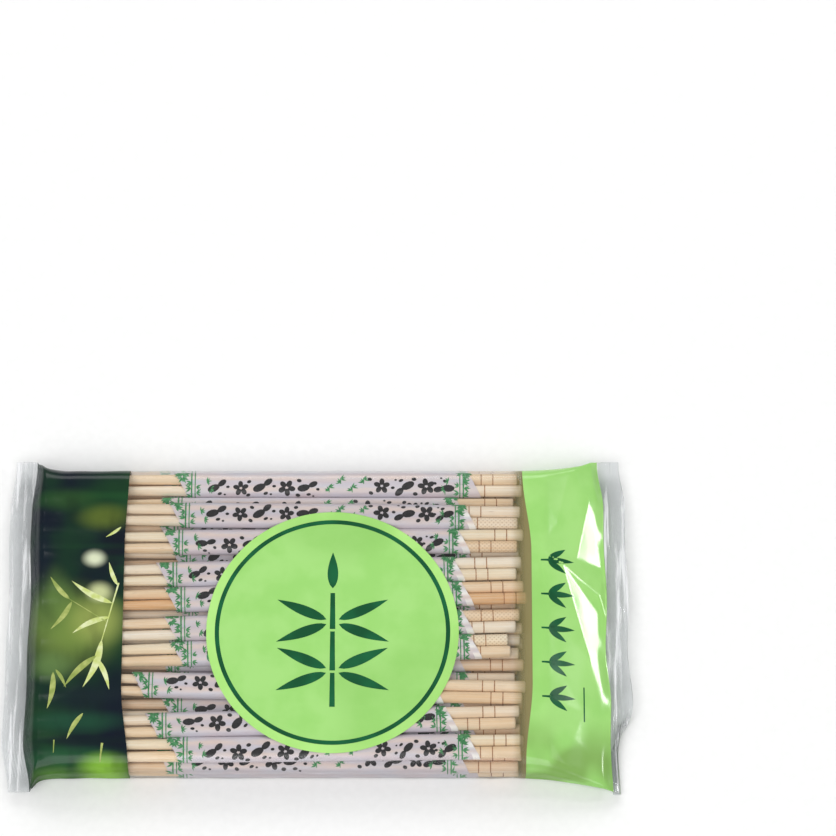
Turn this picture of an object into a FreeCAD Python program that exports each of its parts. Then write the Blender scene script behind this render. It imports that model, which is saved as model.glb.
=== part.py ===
import FreeCAD, Part
import math
import os
from collections import namedtuple
from types import SimpleNamespace

import Sketcher
from FreeCAD import Placement, Rotation, Vector

# A sealed clear pack of disposable bamboo chopsticks, lying on its back.
# The thick ends point to +X and the tips to -X. The front label faces up.
# The origin is at the bottom centre of the pack. All sizes are in millimetres.

SIZES = {
    # One chopstick is a round rod with a taper, a blunt tip and two scored rings.
    "stick_length": 195.0,
    "stick_diameter": 5.0,
    "tip_diameter": 3.1,
    "taper_length": 60.0,
    "end_round": 0.8,
    "score_spacing": 5.0,
    "score_width": 0.5,
    "score_depth": 0.12,
    # A pair lies side by side in a thin sleeve whose ends are cut on a slant.
    "stick_gap": 0.1,
    "sleeve_clearance": 0.1,
    "sleeve_wall": 0.12,
    "sleeve_length": 125.0,
    "sleeve_slant": 5.5,
    # The pairs are stacked in three layers.
    "pair_gap": 0.55,
    "layer_gap": 0.05,
    "top_margin": 15.8,
    # The film is one tube, closed by a crimped seal at each end.
    "film_wall": 0.2,
    "film_clearance": 0.1,
    "upper_round": 6.5,
    "lower_round": 2.6,
    "tip_room": 12.5,
    "end_room": 36.5,
    "tip_shoulder": 13.4,
    "end_shoulder": 32.7,
    "tip_drop": 0.6,
    "seal_width": 9.0,
    "seal_breadth": 146.0,
    "seal_thickness": 0.5,
    "seal_level": 6.0,
    "crimp_pitch": 1.2,
    "crimp_width": 0.6,
    "crimp_height": 0.12,
    # The fin seal is folded flat along the back, in a shallow groove that the film makes round it.
    "fin_width": 10.0,
    "fin_thickness": 0.3,
    "fin_place": 3.0,
    "fin_margin": 0.5,
    "fin_ramp": 6.0,
    # The print on the film is a set of thin fields of colour.
    "ink": 0.1,
    "tip_band_width": 41.1,
    "end_band_width": 32.7,
    "label_radius": 53.0,
    "label_x": 6.7,
    "label_y": -7.0,
    "label_rim": 3.6,
    "label_ring": 1.8,
    "back_label_length": 79.0,
    "back_label_breadth": 52.0,
    "back_label_round": 9.0,
    "back_label_y": -35.2,
    "patch_length": 26.0,
    "patch_breadth": 43.0,
    "patch_x": 16.5,
    "patch_y": 38.0,
}

HIDDEN_PAIRS = 12

# The pairs of the top layer, from the far side to the near side. gap is the free space to the pair
# before it, yaw the turn in degrees, ends how far each thick end lies past the common line, scores the
# distance from each thick end to its first ring, and sleeve the sleeve's middle along X.
Pair = namedtuple("Pair", "gap yaw ends scores sleeve")
TOP_PAIRS = (
    Pair(gap=0.0, yaw=-0.5, ends=(0.5, -0.5), scores=(16.8, 17.2), sleeve=2.0),
    Pair(gap=0.4, yaw=0.3, ends=(1.7, -0.8), scores=(7.1, 11.3), sleeve=-0.6),
    Pair(gap=2.4, yaw=1.2, ends=(0.8, -1.3), scores=(14.7, 12.2), sleeve=-2.8),
    Pair(gap=0.0, yaw=1.4, ends=(1.7, 2.9), scores=(8.8, 4.6), sleeve=0.8),
    Pair(gap=1.6, yaw=1.5, ends=(0.0, -1.7), scores=(11.3, 13.6), sleeve=1.0),
    Pair(gap=0.0, yaw=1.7, ends=(-5.0, -4.0), scores=(9.4, 12.8), sleeve=4.0),
    Pair(gap=5.2, yaw=-1.3, ends=(2.1, 0.8), scores=(13.1, 8.2), sleeve=-12.0),
    Pair(gap=3.7, yaw=1.5, ends=(-0.4, -2.1), scores=(10.4, 15.2), sleeve=-6.0),
    Pair(gap=0.4, yaw=0.8, ends=(0.0, 0.0), scores=(6.3, 12.0), sleeve=3.0),
)

# The same for a pair in the two full layers below, used in turn.
HIDDEN_ENDS = ((0.6, -0.9), (-1.4, 0.3), (1.1, 0.2), (-0.4, 1.6), (-2.1, -0.6), (0.9, -1.2), (0.0, 1.3))
HIDDEN_SCORES = ((12.4, 9.1), (15.8, 6.7), (8.3, 13.9), (10.6, 16.1), (7.4, 11.8))
HIDDEN_SLEEVES = (-3.0, 2.5, 0.0, 4.0, -1.5)

# How the film rises from a seal to the full body. Each step gives the share of the shoulder's length,
# the shares of the rise above and of the fall below, and the share of the seal's extra breadth left.
TIP_STEPS = ((0.0, 0.0, 0.0, 1.0), (0.19, 0.65, 0.58, 0.5), (0.4, 0.97, 0.87, 0.2), (1.0, 1.0, 1.0, 0.0))
END_STEPS = (
    (0.0, 0.0, 0.0, 1.0),
    (0.26, 0.29, 0.39, 0.6),
    (0.54, 0.63, 0.78, 0.28),
    (0.78, 0.91, 0.96, 0.08),
    (1.0, 1.0, 1.0, 0.0),
)


class Length:
    """A length that knows its number and the formula that gives it in the document."""

    def __init__(self, value, text):
        self.value = value
        self.text = text

    def joined(self, sign, value, other):
        return Length(value, f"({self.text} {sign} {other.text})")

    def __add__(self, other):
        other = as_length(other)
        return self.joined("+", self.value + other.value, other)

    def __sub__(self, other):
        other = as_length(other)
        return self.joined("-", self.value - other.value, other)

    def __mul__(self, other):
        other = as_length(other)
        return self.joined("*", self.value * other.value, other)

    def __truediv__(self, other):
        other = as_length(other)
        return self.joined("/", self.value / other.value, other)

    def __neg__(self):
        return as_length(0) - self


def as_length(item):
    return item if isinstance(item, Length) else Length(float(item), f"{float(item):.6f}")


doc = FreeCAD.newDocument("ChopstickPack")
sheet = doc.addObject("Spreadsheet::Sheet", "Sizes")
for row, (alias, number) in enumerate(SIZES.items(), start=1):
    sheet.set(f"A{row}", alias)
    sheet.set(f"B{row}", str(number))
    sheet.setAlias(f"B{row}", alias)
doc.recompute()
s = SimpleNamespace(**{alias: Length(number, f"Sizes.{alias}") for alias, number in SIZES.items()})

# Sizes that follow from the driving ones.
stick_pitch = s.stick_diameter + s.stick_gap
sleeve_height = s.stick_diameter + (s.sleeve_clearance + s.sleeve_wall) * 2
sleeve_breadth = sleeve_height + stick_pitch
pair_pitch = sleeve_breadth + s.pair_gap
layer_pitch = sleeve_height + s.layer_gap
layer_half = pair_pitch * HIDDEN_PAIRS / 2
film_length = s.seal_width * 2 + s.tip_room + s.stick_length + s.end_room
film_start = -film_length / 2
film_end = film_length / 2
tip_seal = film_start + s.seal_width
end_seal = film_end - s.seal_width
thick_line = tip_seal + s.tip_room + s.stick_length
body_half = layer_half - s.pair_gap / 2 + s.film_clearance + s.film_wall
film_low = as_length(0)
film_high = s.fin_thickness + s.film_wall * 2 + layer_pitch * 3 + s.layer_gap
seal_low = s.seal_level - s.seal_thickness / 2
seal_high = s.seal_level + s.seal_thickness / 2
fin_left = s.fin_place - s.fin_width / 2
fin_right = s.fin_place + s.fin_width / 2
top_sleeve_start = as_length(min(pair.sleeve for pair in TOP_PAIRS)) - (s.sleeve_length + s.sleeve_slant) / 2


def axis_level(layer):
    """The height of the sticks' axes in a layer, counted from the bottom."""
    return s.fin_thickness + s.film_wall + s.layer_gap + layer_pitch * layer + sleeve_height / 2


def origin_part(body, role):
    return next(feature for feature in body.Origin.OriginFeatures if feature.Role == role)


def new_body(label):
    body = doc.addObject("PartDesign::Body", label)
    body.Label = label
    return body


def new_sketch(body, name, plane, offset=None):
    """A sketch on an origin plane of its body, moved along the plane's normal by offset."""
    made = body.newObject("Sketcher::SketchObject", name)
    made.AttachmentSupport = [(origin_part(body, plane), "")]
    made.MapMode = "FlatFace"
    if offset is not None:
        made.AttachmentOffset = Placement(Vector(0, 0, offset.value), Rotation())
        made.setExpression("AttachmentOffset.Base.z", offset.text)
    return made


def tie(made, kind, geometry, point, length):
    """Ties one coordinate of a point in a sketch to its formula."""
    number = made.addConstraint(Sketcher.Constraint(kind, -1, 1, geometry, point, length.value))
    made.setExpression(f"Constraints[{number}]", length.text)


def edge_between(start, end, centre):
    """A straight edge, or an arc that turns left about its centre."""
    first = Vector(start[0].value, start[1].value, 0)
    last = Vector(end[0].value, end[1].value, 0)
    if centre is None:
        return Part.LineSegment(first, last)
    middle = Vector(centre[0].value, centre[1].value, 0)
    start_angle = math.atan2(first.y - middle.y, first.x - middle.x)
    end_angle = math.atan2(last.y - middle.y, last.x - middle.x)
    if end_angle <= start_angle:
        end_angle += 2 * math.pi
    circle = Part.Circle(middle, Vector(0, 0, 1), first.distanceToPoint(middle))
    return Part.ArcOfCircle(circle, start_angle, end_angle)


def draw_outline(made, corners, centres=None):
    """A closed outline that turns left. centres maps a corner's number to the centre of the arc after it."""
    centres = centres or {}
    corners = [(as_length(x), as_length(y)) for x, y in corners]
    count = len(corners)
    first = made.GeometryCount
    for i, corner in enumerate(corners):
        edge = edge_between(corner, corners[(i + 1) % count], centres.get(i))
        made.addGeometry(edge, False)
    for i, (x, y) in enumerate(corners):
        following = first + (i + 1) % count
        made.addConstraint(Sketcher.Constraint("Coincident", first + i, 2, following, 1))
        tie(made, "DistanceX", first + i, 1, x)
        tie(made, "DistanceY", first + i, 1, y)
    for i, centre in centres.items():
        # The coordinate that runs along the chord's normal the most fixes the arc.
        start, end = corners[i], corners[(i + 1) % count]
        flat = abs(end[0].value - start[0].value) > abs(end[1].value - start[1].value)
        kind = "DistanceY" if flat else "DistanceX"
        tie(made, kind, first + i, 3, centre[1] if flat else centre[0])


def draw_rounded_box(made, left, right, low, high, radius):
    """A box with round corners."""
    corners = [
        (left + radius, low),
        (right - radius, low),
        (right, low + radius),
        (right, high - radius),
        (right - radius, high),
        (left + radius, high),
        (left, high - radius),
        (left, low + radius),
    ]
    centres = {
        1: (right - radius, low + radius),
        3: (right - radius, high - radius),
        5: (left + radius, high - radius),
        7: (left + radius, low + radius),
    }
    draw_outline(made, corners, centres)


def draw_stadium(made, half_length, radius):
    """Two half circles joined by straight edges, along the sketch's first axis."""
    corners = [
        (-half_length, -radius),
        (half_length, -radius),
        (half_length, radius),
        (-half_length, radius),
    ]
    centres = {1: (half_length, as_length(0)), 3: (-half_length, as_length(0))}
    draw_outline(made, corners, centres)


def draw_circle(made, x, y, radius):
    middle = Vector(x.value, y.value, 0)
    number = made.addGeometry(Part.Circle(middle, Vector(0, 0, 1), radius.value), False)
    tie(made, "DistanceX", number, 3, x)
    tie(made, "DistanceY", number, 3, y)
    size = made.addConstraint(Sketcher.Constraint("Radius", number, radius.value))
    made.setExpression(f"Constraints[{size}]", radius.text)


def pad(body, profile, length):
    made = body.newObject("PartDesign::Pad", profile.Name + "_pad")
    made.Profile = profile
    made.setExpression("Length", length.text)
    body.Tip = made
    return made


def loft(body, kind, name, sections):
    """A loft with straight rulings through the sections."""
    made = body.newObject(kind, name)
    made.Profile = sections[0]
    made.Sections = sections[1:]
    made.Ruled = True
    body.Tip = made
    return made


def make_stick(name, end, across, score):
    """A chopstick along X. end is its thick end, across its place along Y."""
    body = new_body(name)
    profile = new_sketch(body, name + "_profile", "XZ_Plane", -across)
    radius = s.stick_diameter / 2
    tip_radius = s.tip_diameter / 2
    tip = end - s.stick_length
    corners = [
        (tip, 0),
        (end, 0),
        (end, radius - s.end_round),
        (end - s.end_round, radius),
    ]
    for ring in range(2):
        middle = end - score - s.score_spacing * ring
        corners += [
            (middle + s.score_width / 2, radius),
            (middle, radius - s.score_depth),
            (middle - s.score_width / 2, radius),
        ]
    corners += [(tip + s.taper_length, radius), (tip + tip_radius, tip_radius)]
    last = len(corners) - 1
    centres = {
        2: (end - s.end_round, radius - s.end_round),
        last: (tip + tip_radius, as_length(0)),
    }
    draw_outline(profile, corners, centres)
    turned = body.newObject("PartDesign::Revolution", name + "_turned")
    turned.Profile = profile
    turned.ReferenceAxis = (profile, ["H_Axis"])
    turned.Angle = 360
    body.Tip = turned
    return body


def put_pair(item, across, level, yaw):
    """Places a pair, or its sleeve, in the pack."""
    item.Placement = Placement(Vector(0, across.value, level.value), Rotation(Vector(0, 0, 1), yaw))
    item.setExpression("Placement.Base.y", across.text)
    item.setExpression("Placement.Base.z", level.text)


def make_pair(name, across, level, yaw, ends, scores):
    """Two chopsticks side by side."""
    sticks = []
    for side, place, offset, score in zip(("far", "near"), (0.5, -0.5), ends, scores):
        label = f"{name}_{side}"
        sticks.append(make_stick(label, thick_line + offset, stick_pitch * place, score))
    pair = doc.addObject("Part::Compound", name)
    pair.Label = name
    pair.Links = sticks
    put_pair(pair, across, level, yaw)
    return pair


def make_sleeve(name, across, level, yaw, middle):
    """A thin tube round a pair, its ends cut on a slant."""
    body = new_body(name)
    reach = (s.sleeve_length + s.sleeve_slant) / 2
    ring = new_sketch(body, name + "_ring", "YZ_Plane", as_length(middle) - reach)
    half = stick_pitch / 2
    draw_stadium(ring, half, sleeve_height / 2)
    draw_stadium(ring, half, sleeve_height / 2 - s.sleeve_wall)
    pad(body, ring, reach * 2)
    cuts = new_sketch(body, name + "_cuts", "XY_Plane", sleeve_height)
    for side in (-1, 1):
        edge = as_length(middle) + s.sleeve_length * side / 2
        beyond = as_length(middle) + (s.sleeve_length + s.sleeve_slant * 4) * side / 2
        near = (edge + s.sleeve_slant, -sleeve_breadth)
        far = (edge - s.sleeve_slant, sleeve_breadth)
        outer_far = (beyond, sleeve_breadth)
        outer_near = (beyond, -sleeve_breadth)
        corners = [near, far, outer_far, outer_near]
        draw_outline(cuts, corners if side < 0 else corners[::-1])
    cut = body.newObject("PartDesign::Pocket", name + "_cut")
    cut.Profile = cuts
    cut.setExpression("Length", (sleeve_height * 2).text)
    body.Tip = cut
    put_pair(body, across, level, yaw)
    return body


def make_contents():
    """The layers of pairs, each pair in its sleeve."""
    made = []
    number = 0
    for layer, word in enumerate(("bottom", "middle")):
        sleeves = []
        for i in range(HIDDEN_PAIRS):
            across = layer_half - pair_pitch * (i + 0.5)
            turn = i + 3 * layer
            number += 1
            ends = HIDDEN_ENDS[turn % len(HIDDEN_ENDS)]
            scores = HIDDEN_SCORES[turn % len(HIDDEN_SCORES)]
            sleeve = HIDDEN_SLEEVES[turn % len(HIDDEN_SLEEVES)]
            made.append(make_pair(f"chopsticks_{number:02d}", across, axis_level(layer), 0, ends, scores))
            sleeves.append(make_sleeve(f"{word}_sleeve_{i + 1:02d}", across, axis_level(layer), 0, sleeve))
        group = doc.addObject("Part::Compound", f"{word}_sleeves")
        group.Label = f"{word}_sleeves"
        group.Links = sleeves
        made.append(group)
    across = layer_half - pair_pitch / 2 - s.top_margin
    for i, pair in enumerate(TOP_PAIRS, start=1):
        if i > 1:
            across = across - pair_pitch - pair.gap
        number += 1
        name = f"chopsticks_{number:02d}"
        made.append(make_pair(name, across, axis_level(2), pair.yaw, pair.ends, pair.scores))
        made.append(make_sleeve(f"sleeve_{i:02d}", across, axis_level(2), pair.yaw, pair.sleeve))
    return made


def station(x, high, fall, spread):
    """One cross-section of the pack: half its breadth, its underside, its top and the fin's groove."""
    half = body_half + (s.seal_breadth / 2 - body_half) * spread
    low = seal_low - (seal_low - film_low) * fall
    return SimpleNamespace(x=x, half=half, low=low, high=high, groove=s.fin_thickness * fall)


def film_stations():
    """The pack's cross-sections from the tips' seal to the thick ends' seal."""
    tip_high = film_high - s.tip_drop
    made = []
    for along, rise, fall, spread in TIP_STEPS:
        high = seal_high + (tip_high - seal_high) * rise
        made.append(station(tip_seal + s.tip_shoulder * along, high, fall, spread))
    made.append(station(top_sleeve_start - s.film_clearance, film_high, 1, 0))
    for along, rise, fall, spread in reversed(END_STEPS):
        high = seal_high + (film_high - seal_high) * rise
        made.append(station(end_seal - s.end_shoulder * along, high, fall, spread))
    return made


STATIONS = film_stations()


def station_at(x):
    """The cross-section at x, on the straight line between the two stations beside it."""
    after = next(i for i, item in enumerate(STATIONS[1:], start=1) if item.x.value >= x.value)
    left, right = STATIONS[after - 1], STATIONS[after]
    share = (x - left.x) / (right.x - left.x)
    blend = {}
    for name in ("half", "low", "high", "groove"):
        start, end = getattr(left, name), getattr(right, name)
        blend[name] = start + (end - start) * share
    return SimpleNamespace(x=x, **blend)


def stations_between(start, end):
    inner = [item for item in STATIONS if start.value < item.x.value < end.value]
    return [station_at(start)] + inner + [station_at(end)]


def draw_section(body, name, item, inset):
    """A cross-section of the pack, moved in from the film's outer face by inset."""
    made = new_sketch(body, name, "YZ_Plane", item.x)
    half = item.half - inset
    low = item.low + inset
    high = item.high - inset
    scale = (high - low) / (film_high - film_low - inset * 2)
    lower = (s.lower_round - inset) * scale
    upper = (s.upper_round - inset) * scale
    slope_left = fin_left - s.fin_margin - s.fin_ramp
    slope_right = fin_right + s.fin_margin + s.fin_ramp
    corners = [
        (-(half - lower), low),
        (slope_left, low),
        (fin_left - s.fin_margin, low + item.groove),
        (fin_right + s.fin_margin, low + item.groove),
        (slope_right, low),
        (half - lower, low),
        (half, low + lower),
        (half, high - upper),
        (half - upper, high),
        (-(half - upper), high),
        (-half, high - upper),
        (-half, low + lower),
    ]
    centres = {
        5: (half - lower, low + lower),
        7: (half - upper, high - upper),
        9: (-(half - upper), high - upper),
        11: (-(half - lower), low + lower),
    }
    draw_outline(made, corners, centres)
    return made


def pack_loft(body, kind, name, items, inset):
    sections = [draw_section(body, f"{name}_{i}", item, inset) for i, item in enumerate(items)]
    return loft(body, kind, name, sections)


def draw_box(body, name, plane, offset, left, right, low, high):
    made = new_sketch(body, name, plane, offset)
    draw_outline(made, [(left, low), (right, low), (right, high), (left, high)])
    return made


def make_film():
    """The film: a hollow tube, a crimped seal at each end and the folded fin seal."""
    body = new_body("film_wrapper")
    band_end = tip_seal + s.tip_band_width
    band_start = end_seal - s.end_band_width
    stretches = (
        ("tip_stretch", tip_seal, band_end, s.ink),
        ("clear_stretch", band_end, band_start, as_length(0)),
        ("end_stretch", band_start, end_seal, s.ink),
    )
    for name, start, end, inset in stretches:
        pack_loft(body, "PartDesign::AdditiveLoft", name, stations_between(start, end), inset)
    seal_half = s.seal_breadth / 2
    for name, start in (("tip", film_start), ("end", end_seal)):
        strip = draw_box(body, f"{name}_seal", "YZ_Plane", start, -seal_half, seal_half, seal_low, seal_high)
        pad(body, strip, s.seal_width)
    cavity = stations_between(tip_seal + s.seal_thickness, end_seal - s.seal_thickness)
    pack_loft(body, "PartDesign::SubtractiveLoft", "cavity", cavity, s.film_wall)
    folds = []
    film_ends = [station(x, seal_high, 0, 1) for x in (film_start, film_end)]
    for i, item in enumerate(film_ends[:1] + STATIONS + film_ends[1:]):
        high = item.low + item.groove
        low = high - s.fin_thickness
        folds.append(draw_box(body, f"fin_{i}", "YZ_Plane", item.x, fin_left, fin_right, low, high + s.ink))
    loft(body, "PartDesign::AdditiveLoft", "fin", folds)
    for name, start in (("tip", film_start), ("end", end_seal)):
        place = start + (s.crimp_pitch - s.crimp_width) / 2
        low = seal_low - s.crimp_height
        high = seal_high + s.crimp_height
        rib = draw_box(body, f"{name}_crimp", "YZ_Plane", place, -seal_half, seal_half, low, high)
        first = pad(body, rib, s.crimp_width)
        ribs = body.newObject("PartDesign::LinearPattern", f"{name}_crimps")
        ribs.Originals = [first]
        ribs.Direction = (origin_part(body, "X_Axis"), [""])
        ribs.Mode = "Spacing"
        ribs.setExpression("Offset", s.crimp_pitch.text)
        ribs.setExpression("Occurrences", f"floor({(s.seal_width / s.crimp_pitch).text})")
        body.Tip = ribs
    print_beds = new_sketch(body, "back_print_beds", "XY_Plane", film_low)
    draw_back_label(print_beds)
    draw_code_patch(print_beds)
    beds = body.newObject("PartDesign::Pocket", "back_print_recess")
    beds.Profile = print_beds
    beds.setExpression("Length", s.ink.text)
    beds.Reversed = True
    body.Tip = beds
    return body


def make_band(name, start, end):
    """A printed band round the pack, open where the fin seal lies."""
    body = new_body(name)
    items = stations_between(start, end)
    pack_loft(body, "PartDesign::AdditiveLoft", name + "_face", items, as_length(0))
    pack_loft(body, "PartDesign::SubtractiveLoft", name + "_back", items, s.ink)
    left = fin_left - s.fin_margin
    right = fin_right + s.fin_margin
    slot = draw_box(body, name + "_slot", "YZ_Plane", start, left, right, film_low, s.seal_level)
    cut = body.newObject("PartDesign::Pocket", name + "_gap")
    cut.Profile = slot
    cut.setExpression("Length", (end - start).text)
    cut.Reversed = True
    body.Tip = cut
    return body


def make_front_label():
    """The round label with a pale rim, a dark ring and a pale middle."""
    disc = new_body("front_label")
    face = new_sketch(disc, "front_label_face", "XY_Plane", film_high)
    draw_circle(face, s.label_x, s.label_y, s.label_radius)
    pad(disc, face, s.ink)
    ring = new_body("front_label_ring")
    band = new_sketch(ring, "front_label_band", "XY_Plane", film_high + s.ink)
    draw_circle(band, s.label_x, s.label_y, s.label_radius - s.label_rim)
    draw_circle(band, s.label_x, s.label_y, s.label_radius - s.label_rim - s.label_ring)
    pad(ring, band, s.ink)
    return [disc, ring]


def draw_leaf(made, x, y, length, breadth, angle):
    """A leaf of two arcs, from its stalk at x, y. Lengths are shares of the label's radius."""
    along = Vector(math.cos(angle), math.sin(angle), 0)
    side = Vector(-along.y, along.x, 0)
    radius = (length * length / 4 + breadth * breadth / 4) / breadth
    back = radius - breadth / 2
    stalk = Vector(x, y, 0)
    tip = stalk + along * length
    middle = stalk + along * (length / 2)

    def on_label(point):
        return (s.label_x + s.label_radius * point.x, s.label_y + s.label_radius * point.y)

    corners = [on_label(stalk), on_label(tip)]
    centres = {0: on_label(middle + side * back), 1: on_label(middle - side * back)}
    draw_outline(made, corners, centres)


def make_motif():
    """A plain sprig of bamboo in the middle of the label: a stem in three lengths and its leaves."""
    body = new_body("front_label_motif")
    sprig = new_sketch(body, "sprig", "XY_Plane", film_high + s.ink)
    left = s.label_x - s.label_radius * 0.02
    right = s.label_x + s.label_radius * 0.02
    for low, high in ((-0.62, -0.34), (-0.32, 0.0), (0.02, 0.32)):
        near = s.label_y + s.label_radius * low
        far = s.label_y + s.label_radius * high
        draw_outline(sprig, [(left, near), (right, near), (right, far), (left, far)])
    for level in (-0.32, 0.08):
        for side in (-1, 1):
            for rise, lift in ((-0.35, -0.02), (0.4, 0.02)):
                angle = math.pi / 2 - side * (math.pi / 2 - rise)
                draw_leaf(sprig, side * 0.05, level + lift, 0.42, 0.075, angle)
    draw_leaf(sprig, 0.0, 0.36, 0.3, 0.075, math.pi / 2)
    pad(body, sprig, s.ink)
    return body


def draw_back_label(made):
    half_length = s.back_label_length / 2
    half_breadth = s.back_label_breadth / 2
    near = s.back_label_y - half_breadth
    far = s.back_label_y + half_breadth
    draw_rounded_box(made, -half_length, half_length, near, far, s.back_label_round)


def draw_code_patch(made):
    left = s.patch_x - s.patch_length / 2
    right = s.patch_x + s.patch_length / 2
    near = s.patch_y - s.patch_breadth / 2
    far = s.patch_y + s.patch_breadth / 2
    draw_outline(made, [(left, near), (right, near), (right, far), (left, far)])


def make_back_print():
    """The label and the pale code patch on the back, level with the film."""
    made = []
    for name, draw in (("back_label", draw_back_label), ("code_patch", draw_code_patch)):
        body = new_body(name)
        face = new_sketch(body, name + "_face", "XY_Plane", film_low)
        draw(face)
        pad(body, face, s.ink)
        made.append(body)
    return made


parts = make_contents()
parts.append(make_film())
parts.append(make_band("leaf_band", tip_seal, tip_seal + s.tip_band_width))
parts.append(make_band("green_band", end_seal - s.end_band_width, end_seal))
parts += make_front_label()
parts.append(make_motif())
parts += make_back_print()
doc.recompute()

for item in doc.Objects:
    if "Invalid" in item.State or "Error" in item.State:
        raise RuntimeError(f"{item.Label} could not be made: {item.State}")

os.makedirs("parts", exist_ok=True)
for item in parts:
    shape = item.Shape
    if shape.isNull() or not shape.isValid() or not shape.Solids:
        raise RuntimeError(f"{item.Label} is not a sound solid")
    shape.exportStep(os.path.join("parts", item.Label + ".step"))
    print(f"{item.Label}: {len(shape.Solids)} solids, {shape.Volume:.1f} mm3")
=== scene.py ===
import math
import random

import bpy
import numpy as np
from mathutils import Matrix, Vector, geometry, noise


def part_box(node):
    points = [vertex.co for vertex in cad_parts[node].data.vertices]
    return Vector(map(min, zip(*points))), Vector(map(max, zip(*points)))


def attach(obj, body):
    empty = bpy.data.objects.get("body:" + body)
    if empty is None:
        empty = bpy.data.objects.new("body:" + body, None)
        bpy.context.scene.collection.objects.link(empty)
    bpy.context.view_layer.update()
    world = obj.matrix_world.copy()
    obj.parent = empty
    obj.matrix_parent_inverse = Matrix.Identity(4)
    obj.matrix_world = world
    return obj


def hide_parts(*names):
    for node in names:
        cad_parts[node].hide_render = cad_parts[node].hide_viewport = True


# A clear pack of disposable bamboo chopsticks, lying with its front label up.
# Lengths in the making of the shapes are in millimetres and go to metres in the meshes.

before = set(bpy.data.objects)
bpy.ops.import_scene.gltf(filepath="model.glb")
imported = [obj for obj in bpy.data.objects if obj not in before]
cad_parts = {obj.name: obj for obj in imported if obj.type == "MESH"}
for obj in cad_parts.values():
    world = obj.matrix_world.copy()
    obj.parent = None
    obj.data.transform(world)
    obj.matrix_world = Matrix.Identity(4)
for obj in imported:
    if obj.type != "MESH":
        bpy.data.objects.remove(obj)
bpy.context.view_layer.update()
MM = 0.001

# The sticks.
STICK_RADIUS = 2.5
TIP_RADIUS = 1.55
TAPER_LENGTH = 60.0
END_ROUND = 0.8
SCORE_WIDTH = 0.42
SCORE_DEPTH = 0.14
SCORE_EDGE = 0.06
STICK_SIDES = 28
STICK_SEED = 400
DOT_PITCH = 1.8
DOT_STRENGTH = 0.35
DOTTED_LENGTH = 26.0

# The sleeves.
SLEEVE_LENGTH = 125.0
SLEEVE_SLANT = 5.5
SLEEVE_WALL = 0.12
SLEEVE_HALF_LINE = 2.55
SLEEVE_RADIUS = 2.72
SLEEVE_SLACK = 0.24
SLEEVE_MARGIN = 3.0
SLEEVE_RAGGED = 0.25
SLEEVE_EASE = 0.035
SLEEVE_GIRTH = 4 * SLEEVE_HALF_LINE + 2 * math.pi * SLEEVE_RADIUS
SLEEVE_REACH = 5.4
SLEEVE_SEED = 70

# The film, as its solid has it.
SEAL_WIDTH = 9.0
SEAL_THICKNESS = 0.5
SEAL_LEVEL = 6.0
TIP_SHOULDER = 13.4
END_SHOULDER = 32.7
TIP_DROP = 0.6
UPPER_ROUND = 6.5
LOWER_ROUND = 2.6
FIN_PLACE = 3.0
FIN_WIDTH = 10.0
FIN_THICKNESS = 0.3
FIN_RAMP = 6.5
GROOVE_RAMP = 6.0
CRIMP_PITCH = 1.2
PROFILE_STEP = 0.25
TIP_STEPS = ((0.0, 0.0, 0.0, 1.0), (0.19, 0.65, 0.58, 0.5), (0.4, 0.97, 0.87, 0.2), (1.0, 1.0, 1.0, 0.0))
END_STEPS = (
    (0.0, 0.0, 0.0, 1.0),
    (0.26, 0.29, 0.39, 0.6),
    (0.54, 0.63, 0.78, 0.28),
    (0.78, 0.91, 0.96, 0.08),
    (1.0, 1.0, 1.0, 0.0),
)

# The film's relief: puckers at the tips' and the thick ends' seal, waves of its sides, dips between
# the pairs as a share of the free space and at most, the seals' droop, draw and swell at their corners,
# and how sharply the seal at the thick ends rolls under.
TIP_PUCKERS = 0.22
END_PUCKERS = 0.008
SIDE_WAVES = 0.22
SAG_SHARE = 0.1
SAG_LIMIT = 0.5
SEAL_DROOP = 2.2
CORNER_DRAW = 2.6
NEAR_SWELL = 2.4
CURL = 0.36

# The film's gloss, and the least height of its underside over the floor, which keeps it off the print.
FILM_ROUGHNESS = 0.12
FILM_IOR = 1.45
FILM_CLEARANCE = 0.06

# The bands: how far past each end the film is read and how closely, and where across it an edge bends.
BAND_MARGIN = 4.5
BAND_STEP = 0.25
BENT = (30.0, 68.0)

# The label.
LABEL_RIM = 3.6
LABEL_RING = 1.8
LABEL_SIDES = 180
LABEL_RINGS = 44

# How far each print lies over the sleeve or the film.
SLEEVE_INK = 0.05
BAND_INK = 0.05
MARKS_INK = 0.09
LABEL_INK = 0.1
LEAVES_INK = 0.1
MOTIF_INK = 0.14

# The lamps: name, place, target, size and power. The world lights the rest.
LAMPS = (
    ("sky", (-0.25, -0.8, 1.45), (0, 0, 0), (2.2, 1.6), 24.5),
    ("window", (-0.15, 1.35, 1.05), (0, 0, 0), (2.2, 0.7), 13.5),
    ("spark", (1.0, 0.365, 0.736), (0.11, 0, 0), (0.14, 0.14), 1.9),
)
SKY_COLOUR = (0.97, 0.98, 1.0, 1.0)
SKY_STRENGTH = 0.3

# The camera of the photograph.
PHOTO_SIDE = 836
FOCAL_PIXELS = 4291.0
CAMERA_ELEVATION = 69.45
LABEL_PIXEL = (332.5, 631.5)
LABEL_DEPTH = 1800.0


def box_mm(node):
    low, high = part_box(node)
    return low / MM, high / MM


FILM_LOW, FILM_HIGH = box_mm("film_wrapper")
LABEL_LOW, LABEL_HIGH = box_mm("front_label")
TIP_SEAL = FILM_LOW.x + SEAL_WIDTH
END_SEAL = FILM_HIGH.x - SEAL_WIDTH
FILM_TOP = LABEL_LOW.z
LABEL_CENTRE = (LABEL_LOW + LABEL_HIGH) / 2
LABEL_RADIUS = (LABEL_HIGH.y - LABEL_LOW.y) / 2


# Meshes and materials.


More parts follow.
